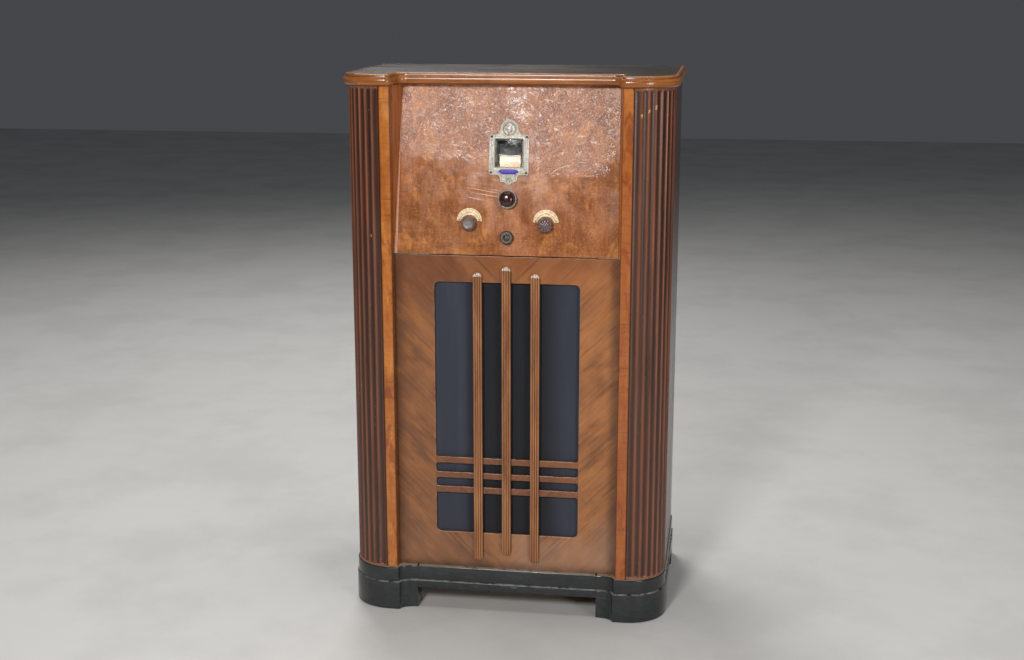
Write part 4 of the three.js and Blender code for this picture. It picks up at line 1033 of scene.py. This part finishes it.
def knob(name, centre, profile, body, shape=None, round_by=1.2, segments=96, finishes=(BAKELITE, NICKEL),
         ring=()):
    """profile runs outwards from the bore and over the face. ring is a closed section, and it takes the
    second finish."""
    at = at_panel(*centre, -KNOB_LIFT)
    outer = soften([(BORE_R, 0.0), *profile], round_by, 4)
    made = Shape().lathe([(0, BORE_DEEP), (BORE_R, BORE_DEEP), *outer], segments, place=at, shape=shape)
    if ring:
        made.lathe(ring, segments, 1, at, shape=shape)
    fitting(f"{name}_handle", made, finishes, body, "bakelite", f"{name}_knob", sharp=38)


def lobes(count, share, drop, r_from, h_from):
    """Cuts grooves down the side of a knob and across its face towards the middle."""
    def at(a, r, h):
        if h < h_from or r < r_from:
            return r, h
        groove = (0.5 + 0.5 * math.cos(a * count)) ** 2
        return r * (1 - share * groove), h - drop * groove * min((r - r_from) / 5, 1)
    return at


def flats(count, share):
    """Dulls a round knob into slight flats."""
    def at(a, r, h):
        if r < 9 or h < 1:
            return r, h
        step = 2 * math.pi / count
        return r * (1 - share * (1 - math.cos((a % step) - step / 2)) * 8), h
    return at


# the bead takes the pale rim finish, a painted highlight
bead = [(14.6, 8.6), (15.6, 9.3), (16.6, 9.0), (17.0, 8.2), (16.6, 7.4), (14.6, 7.8), (14.6, 8.6)]
knob("tuning", TUNING_AT,
     [(12.8, 0), (15.4, 0.8), (17.0, 3.6), (17.0, 7.8), (16.0, 8.8), (14.4, 8.8), (13.9, 10.4), (13.6, 13.4),
      (12.6, 16.2), (10.4, 18.8), (7.2, 20.3), (3.6, 20.9), (0, 21)],
     "tuning_control", finishes=(BAKELITE, BAKELITE_RIM_HIGHLIGHT), ring=bead)
knob("volume", VOLUME_AT,
     [(11.6, 0), (13.4, 1.4), (13.2, 9), (11.8, 13), (9.8, 14.9), (8.8, 14.5), (4, 14.3), (0, 14.4)],
     "volume_turn", flats(12, 0.045), 1.0, finishes=(BAKELITE_DULL, NICKEL))
knob("tone", TONE_AT, [(12.2, 0), (13.9, 1.4), (13.6, 10), (11.8, 13.6), (8.2, 14.7), (4, 14.9), (0, 15)],
     "tone_turn", lobes(10, 0.035, 2.2, 1.5, 2.2), 1.0, segments=160, finishes=(BAKELITE_SATIN, NICKEL))
knob("band", BAND_AT,
     [(11, 0), (12.7, 1.2), (12.7, 5), (11.9, 6.4), (10.9, 7), (10.7, 8.8), (9.4, 9.6), (7.4, 8.8),
      (6.4, 8.8), (5.4, 10.8), (3.6, 11.4), (2.4, 12.4), (0, 12.9)], "band_turn",
     lobes(28, 0.03, 0.5, 6.6, 6.5), 0.7, segments=224, finishes=(BAKELITE_DARK, DUSTY),
     ring=[(6.6, 8.6), (7.4, 9.1), (9.2, 9.8), (10.4, 9.2), (10.2, 8.4), (6.6, 8.6)])

# ---- Dial drum: paper scale on a light rim, with generic numbers ----
AXLE = Matrix.Translation((0, DRUM_W, DRUM_V)) @ Matrix(((0, 0, 1), (0, 1, 0), (-1, 0, 0))).to_4x4()
wheel = [(3, -9), (9, -9), (9, -3), (37.2, -3), (37.2, -18.2), (38, -18.4), (39.8, -18.4), (39.8, 18.4),
         (38.7, 19.2), (38.6, 22), (39.8, 22.2), (39.8, 22.5), (37.2, 22.5), (37.2, 3), (9, 3), (9, 9),
         (3, 9), (3, -9)]
drum = Shape().lathe(soften(wheel, 0.3, 3), 96, 0, AXLE)
drum.lathe([(39.8, -17.6), (40, -17.4), (40, 17.4), (39.8, 17.6)], 96, 1, AXLE)
drum.lathe(soften([(0, -41), (2.6, -41), (3, -40.5), (3, 124.5), (2.6, 125), (0, 125)], 0.4, 3), 24, 2, AXLE)
for low in (42, 66, 92):
    for k in range(6):
        x = low + 1.4 + 3.0 * k
        vane = [*arc(0, 0, 29.8, 180, 360, 30), (6, 0.6), *arc(0, 0, 5, 20, 160, 6), (-6, 0.6)]
        drum.plate([vane], x, x + 0.7, 0.1, 1, 2, Matrix.Translation((0, DRUM_W, DRUM_V)) @ SIDEWAYS)


def drum_mark(x0, x1, turn0, turn1):
    """A thin printed patch lying on the drum."""
    steps = 3 + int(abs(turn1 - turn0) / 3)
    section = ((x0, 39.98), (x0, 40.08), (x1, 40.08), (x1, 39.98))
    rows = [turn0 + (turn1 - turn0) * i / steps for i in range(steps + 1)]
    drum.loft([[on_drum(x, a, r) for x, r in section] for a in rows], 3, caps=True)


FIRST_TURN, TICK_TURN = -115.5, 3.5
for k in range(67):
    turn = FIRST_TURN + TICK_TURN * k
    reach = 16.4 if k % 5 in (2, 3) else 4.2
    for hand in (-1, 1):
        ends = sorted((hand * 16.4, hand * (16.4 - reach)))
        drum_mark(*ends, turn - 0.24, turn + 0.24)
for k, number in enumerate((55, 60, 65, 70, 80, 90, 100, 110, 120, 130, 140, 150, 160)):
    for hand, text in ((-1, str(number)), (1, str(k * 10))):
        words = bpy.data.curves.new("number", "FONT")
        words.body, words.size, words.align_x, words.align_y = text, 4.6, "CENTER", "CENTER"
        flat, faces = filled(words)
        middle = FIRST_TURN + 5 * TICK_TURN * k
        drum.add([on_drum(hand * 6.6 + v.x, middle + math.degrees(v.y / DRUM_R), DRUM_R + 0.1) for v in flat],
                 faces, 3)
fitting("scale_drum", drum, [ALUMINIUM, PAPER, STEEL, SCALE_INK], "dial_rotor", "paper_cone", "dial_drum",
        sharp=30)

# ---- Behind the panel ----
for name in ("tuning_shaft", "volume_shaft", "tone_shaft", "band_shaft"):
    keep(name, STEEL, 0.3)
POT_R, POT_LONG, BEHIND = 14, 18, 31.9
for name, (x, v) in (("volume_control", VOLUME_AT), ("tone_control", TONE_AT)):
    section = [(3.4, 0), (POT_R, 0), (POT_R, -POT_LONG), (3.4, -POT_LONG), (3.4, 0)]
    pot = Shape().lathe(soften(section, 1.6, 4), 64, 0, at_panel(x, v, BEHIND))
    tags = v + POT_R
    for k in (-1, 0, 1):
        pot.brick(x + 5 * k - 1.4, x + 5 * k + 1.4, 36, 36.6, tags - 0.4, tags + 6, 1)
    pot.brick(x - 8.5, x + 8.5, 35, 37.6, tags - 2, tags + 1.6, 2)
    fitting(f"{name}_pot", pot, [BLACK_STEEL, STEEL, PHENOLIC], slot="black_steel", instead=name)
wafer = Shape().lathe(soften([(3.4, -4.6), (19, -4.6), (19, -7), (3.4, -7), (3.4, -4.6)], 0.5, 2), 48, 0,
                      at_panel(*BAND_AT, BEHIND))
wafer.lathe([(3.4, 0), (9, 0), (9, -12), (3.4, -12), (3.4, 0)], 32, 1, at_panel(*BAND_AT, BEHIND))
for k in range(12):
    turn = math.radians(30 * k + 15)
    lug = Matrix.Translation((0, 36.2, 32.6)) @ Matrix.Rotation(turn, 4, "Y")
    wafer.brick(13, 18.8, 0, 0.5, -1.1, 1.1, 1, lug)
fitting("band_switch_wafer", wafer, [PHENOLIC, STEEL], slot="phenolic", instead="band_switch")
keep("chassis", STEEL, 0.6)
keep("mains_grommet", RUBBER, 0.4)
keep("gang_frame", STEEL, 0.4)

DECK = 78.3
supply = Shape()
for k in range(22):  # core laminations, alternate ones a hair proud
    y = 132.4 + 2.4 * k
    proud = 0.0 if k % 2 else 0.35
    supply.brick(64.2 + proud, 139.8 - proud, y, y + 2.2, DECK + 0.2, DECK + 65.6 - proud, 1)
for back, y0, y1 in ((118.2, 118.2, 132.6), (199.8, 185.4, 199.8)):
    bell = []
    for k in range(7):
        a = math.pi / 2 * k / 6
        out = 14.2 * math.sin(a)
        shrink = 9 * (1 - math.cos(a))
        y = y1 - out if back < 150 else y0 + out
        bell.append([(x, y, z) for x, z in box_loop(30 - shrink * 0.5, 0, 57.8 - shrink, 6)])
    bell = [[(x + 102, y, z + DECK + 0.2) for x, y, z in ring] for ring in bell]
    supply.loft(bell, 0, caps=True)
for x in (70, 134):
    for z in (5.5, 60):
        for at in (at_panel(x, DECK + z, 132.4), facing_back(x, 186, DECK + z)):
            supply.lathe([(0, 2.4), (2.6, 2.4), (3, 2), (3, -0.5)], 6, 2, at)
fitting("supply_transformer", supply, [BLACK_STEEL, DARK_NICKEL, STEEL], slot="black_steel",
        instead="power_transformer", sharp=30, bevel=0.15)

for name, x, y, r, h in (("rectifier_valve", 24, 165, 21, 116), ("output_valve", -34, 165, 19, 106)):
    at = Matrix.Translation((x, y, DECK))
    valve = Shape().lathe([(0, 0.1), (15, 0.1), (15.8, 0.8), (15.8, 5.4), (15, 6), (0, 6)], 40, 2, at)
    valve.lathe([(0, 6), (12.8, 6), (13, 7), (13, 21), (13.6, 22), (13.6, 24), (12.8, 24.6), (0, 24.6)],
                40, 1, at)
    bulb = soften([(12.6, 24.2), (14, 26), (r, 42), (r + 0.9, h * 0.58), (r, h * 0.72), (r * 0.56, h * 0.84),
                   (r * 0.5, h * 0.94), (0, h)], 12, 6)
    valve.lathe(bulb, 64, 0, at)
    inner = [(max(q - 0.9, 0), z if q > 1 else z - 0.9) for q, z in bulb]
    valve.lathe(inner[::-1], 64, 0, at)
    pinch = [(0, 25), (7, 25), (6, 34), (2.4, 40), (0, 40)]
    valve.lathe(pinch, 20, 4, at)
    anode = [[(px, py, z) for px, py in box_loop(9.5, -6, 6, 3)] for z in (43, h * 0.74)]
    valve.loft([[(x + a, y + b, DECK + c) for a, b, c in ring] for ring in anode], 3, caps=False)
    for hand in (-1, 1):
        valve.tube([(x + hand * 12.5, y, DECK + z) for z in (32, 40, h * 0.76)], 0.6, 6, 3)
        valve.tube([(x + hand * 3.5, y, DECK + z) for z in (38, 43, h * 0.7)], 0.5, 6, 3)
    for z in (42.5, h * 0.75):
        spacer = [(x + a, y + b) for a, b in box_loop(14.5, -7.5, 7.5, 4)]
        valve.plate([spacer], DECK + z, DECK + z + 0.8, 0.1, 1, 4)
    valve.lathe([(r * 0.4, h * 0.93), (r * 0.45, h * 0.9), (r * 0.52, h * 0.83)], 40, 5, at)
    fitting(f"glass_{name}", valve, [GLASS, BAKELITE, PHENOLIC, DARK_PLATE, MICA, GETTER], slot="glass",
            instead=name, sharp=40, shadow=False)

section = [(0, 0.1), (18.6, 0.1), (19, 0.6), (19, 3.4), (16.7, 4.6), (16.4, 8), (16.4, 79), (15.8, 83.5),
           (13, 87.4), (6, 89.4), (5, 90.4), (5, 96), (3.6, 97.6), (0, 98)]
can = Shape().lathe(soften(section, 1.4, 4), 64, 0, Matrix.Translation((-118, 96, DECK)))
for k in range(5):
    z = DECK + 20 + 9 * k
    can.lathe([(16.35, -0.6), (16.49, 0), (16.35, 0.6)], 64, 0, Matrix.Translation((-118, 96, z)))
fitting("valve_screen", can, ALUMINIUM, slot="aluminium", instead="screened_valve", sharp=30)

coil_can = Shape()
skirt = [[(x - 119, y, DECK + z) for x, y in box_loop(17 - k, 148 + k, 182 - k, 3.5)] for z, k in
         ((0.2, 0), (2, 0), (2.6, 0.8), (84, 0.8), (86.6, 1.6), (87.8, 3.6))]
coil_can.loft(skirt, 0, caps=True)
for y in (158, 172):
    coil_can.lathe([(4.2, 87.6), (4.2, 88), (3.6, 88.1), (3.4, 86.4), (0, 86.4)], 24, 1,
                   Matrix.Translation((-119, y, DECK)))
fitting("coil_can", coil_can, [ALUMINIUM, DARK_NICKEL], slot="aluminium", instead="if_can", sharp=30)

GROOVE_X, LIFT_R = 20.6, 39.6
string = [(7.9, 55, 102.4), (9.6, 58, 109.4), (GROOVE_X, DRUM_W + 27.3, 140),
          *[(GROOVE_X, w, v) for w, v in arc(DRUM_W, DRUM_V, LIFT_R, -30, 210, 24)],
          (GROOVE_X, DRUM_W - 27.3, 140), (2, 44, 117), (-6.8, 51, 108), (-7.9, 53, 102.4)]
fitting("dial_string", Shape().tube(smooth_path(string, 6), 0.65, 8), CORD, slot="cloth",
        instead="dial_cord", sharp=60)

# ---- Loudspeaker ----
SPEAKER_Z, BOARD_BACK = 395.0, 43.9
BACKWARDS = Matrix.Translation((0, BOARD_BACK, SPEAKER_Z)) @ FRONT.inverted()  # local Z towards the back
basket = [(134, 0.9), (125, 0.9), (120.4, 1.6), (118.4, 4), (117.4, 10), (112, 14.6), (104, 21), (96, 27.6),
          (88, 34), (80, 40.4), (72, 47), (66, 53), (62, 59), (56, 62.4), (48, 63.6), (36, 64), (22.8, 64)]
STEPS, WINDOWS = 144, 4
verts, faces = [], []
for r, h in basket:
    verts += [(x, y, h) for x, y in arc(0, 0, r, 0, 360, STEPS)[:-1]]
for face in grid(len(basket), STEPS):
    k, i = divmod(face[0], STEPS)
    sector = (i + 0.5) / STEPS * WINDOWS % 1
    margin = 0.23 if k in (5, 10) else 0.17  # the windows' ends are rounded
    if not (5 <= k <= 10 and margin < sector < 1 - margin):
        faces.append(face)
frame_piece = piece("speaker_basket", Shape().add(verts, faces, place=BACKWARDS), BLACK_STEEL,
                    slot="black_steel", instead="speaker_frame", sharp=40)
thick = frame_piece.modifiers.new("sheet", "SOLIDIFY")
thick.thickness, thick.offset = 1.5 * MM, 0.0
soften_edges(frame_piece, 0.4)
bolts = Shape()
for k in range(8):
    turn = math.radians(22.5 + 45 * k)
    at = facing_back(127 * math.cos(turn), BOARD_BACK + 2, SPEAKER_Z + 127 * math.sin(turn))
    bolts.lathe([(0, 3.4), (3.6, 3.4), (4.2, 2.8), (4.2, 0)], 6, 0, at)
    bolts.lathe([(6.2, 0), (6.2, -0.8), (0, -0.8)], 24, 0, at)
piece("speaker_bolts", bolts, STEEL, slot="steel", sharp=30)
ripples = [(113 - 1.2 * k, 4.2 + 0.9 * math.sin(k * math.pi / 1.5)) for k in range(7)]
sides = [(104 - 6 * k, 5.2 + 4.0 * k + (0.35 if k % 3 == 1 else 0)) for k in range(13)]
cup = [(26, 54.8), (21.4, 55.6), (19.6, 58), (19.6, 83.6), (18.9, 83.6), (18.9, 58), (18.9, 50), (15, 47.2),
       (8, 45.2), (0, 44.4)]
cone_line = [*ripples, *sides, *cup]
cone = Shape().lathe([*cone_line, (0, 43.4), (14, 46.0), (18.2, 48.6), (20.6, 54.0), (26, 53.8),
                      *[(r, h - 0.9) for r, h in reversed(ripples + sides)], cone_line[0]], 96, 0, BACKWARDS)
piece("paper_cone", cone, CONE, "cone", "paper_cone", "speaker_cone", sharp=50)
pot = Shape().lathe(soften([(16.5, 92), (16.5, 68), (0, 68)], 0.5, 2), 64, 0, BACKWARDS)
pot.lathe(soften([(22.5, 92), (22.5, 66.7), (48, 66.7), (49.9, 68.4), (49.9, 122), (47, 126), (43, 127.9),
                  (12, 127.9), (11, 126.8), (0, 126.8)], 2.2, 4), 96, 0, BACKWARDS)
pot.lathe([(22.5, 92), (16.5, 92)], 64, 0, BACKWARDS)
for h in (74, 112):
    pot.lathe([(49.85, h), (49.95, h + 0.8), (49.95, h + 2.2), (49.85, h + 3)], 96, 1, BACKWARDS)
piece("field_pot", pot, [BLACK_STEEL, DARK_NICKEL], slot="black_steel", instead="field_coil", sharp=30)

output = Shape()
for k in range(16):
    y = BOARD_BACK + 5.2 + 2.1 * k
    proud = 0.3 * (k % 2)
    output.brick(122.2 + proud, 171.8 - proud, y, y + 1.9, 232.2, 275.8, 1)
for x0, x1, y0, y1, z0, z1, skin in (
        (127.4, 166.6, 9, 37.6, 224.4, 283.6, 0),  # winding
        (112.2, 181.8, 0.2, 2.6, 240.4, 267.6, 2),  # mounting foot
        (121.8, 123.2, 0.3, 45.6, 241, 267, 2),  # clamp, in three flats
        (170.8, 172.1, 0.3, 45.6, 241, 267, 2),
        (121.8, 172.1, 44.2, 45.7, 241, 267, 2)):
    output.brick(x0, x1, BOARD_BACK + y0, BOARD_BACK + y1, z0, z1, skin)
for x in (117, 177):
    output.lathe([(0, 2.2), (2, 2), (3.4, 1), (3.6, 0)], 24, 2, facing_back(x, BOARD_BACK + 2.6, 254))
piece("speaker_transformer", output, [LEAD, DARK_NICKEL, STEEL], slot="black_steel",
      instead="output_transformer", bevel=0.25)

lead = Shape()
chassis_end = [PANEL_PLACE @ Vector(p) for p in ((142, 262, 36), (120, 232, 34), (120, 205, 34))]
chassis_end = [CABINET_PLACE.inverted() @ p for p in chassis_end]
route = [(150, 66, 285.5), (160, 74, 330), (214, 96, 400), (262, 130, 470), (280, 190, 540), (280, 262, 580),
         (262, 308, 626), (214, 318, 668), *chassis_end]
lead.tube(smooth_path(route, 10), 2.9, 12)
piece("speaker_cable", lead, LEAD, slot="rubber", instead="speaker_lead", sharp=60)
clips = Shape()
side_face = HALF - 13.0  # inner face of the side panel
for y, z in ((190, 540), (262, 580)):
    half = [(0.3, 9.5), (0.5, 4.4), (4.5, 3.9), (9.2, 2.4), (9.9, 0.0)]  # out from the panel, and up
    saddle = half + [(out, -up) for out, up in half[-2::-1]]
    lean = Matrix.Translation((side_face, y, z)) @ Matrix.Rotation(math.radians(-29), 4, "X")
    clips.loft([[lean @ Vector((dx - out, dy, up)) for dx, dy in ((0, -4), (0, 4), (-0.7, 4), (-0.7, -4))]
                for out, up in saddle], 0, caps=True)
piece("lead_clips", clips, STEEL, slot="steel", sharp=30)

# ---- Camera, light and stage ----
camera_data = bpy.data.cameras.new("camera")
camera_data.lens = 51.7
camera = bpy.data.objects.new("camera", camera_data)
camera.location = (0.3984, -2.7724, 1.1727)
camera.rotation_euler = (math.radians(90 - 13.15), 0, math.radians(8.45))
scene.collection.objects.link(camera)
scene.camera = camera

world = bpy.data.worlds.new("studio")
world.use_nodes = True
world.node_tree.nodes["Background"].inputs[0].default_value = (0.84, 0.9, 1.0, 1)
world.node_tree.nodes["Background"].inputs[1].default_value = 0.07
scene.world = world
scene.view_settings.view_transform = "Standard"


def softbox(name, at, aim, size, power, colour=(1, 1, 1)):
    data = bpy.data.lights.new(name, "AREA")
    data.shape, data.size, data.size_y = "RECTANGLE", *size
    data.energy, data.color = power, colour
    light = bpy.data.objects.new(name, data)
    light.location = at
    light.rotation_euler = (Vector(aim) - Vector(at)).to_track_quat("-Z", "Y").to_euler()
    scene.collection.objects.link(light)


softbox("key", (-0.45, -3.2, 2.06), (0, 0, 0.7), (0.5, 0.62), 68)
softbox("fill", (2.2, -2.6, 1.1), (0, 0, 0.4), (0.9, 1.2), 34, (1.0, 0.97, 0.93))
softbox("top", (0.0, 0.2, 3.4), (0, 0, 0.5), (2.4, 2.0), 52)
softbox("rear", (-1.0, 2.4, 3.2), (0, 0, 0.4), (1.4, 1.0), 60)

floor = bpy.data.meshes.new("floor")
floor.from_pydata([(-9, -9, 0), (9, -9, 0), (9, 9, 0), (-9, 9, 0)], [], [(0, 1, 2, 3)])
floor.materials.append(simple("floor_grey", (206, 204, 200), (196, 194, 190), 3, (0.55, 0.7), 0.0, 0.0002))
floor = bpy.data.objects.new("floor", floor)
floor.location.z = -0.0005
scene.collection.objects.link(floor)
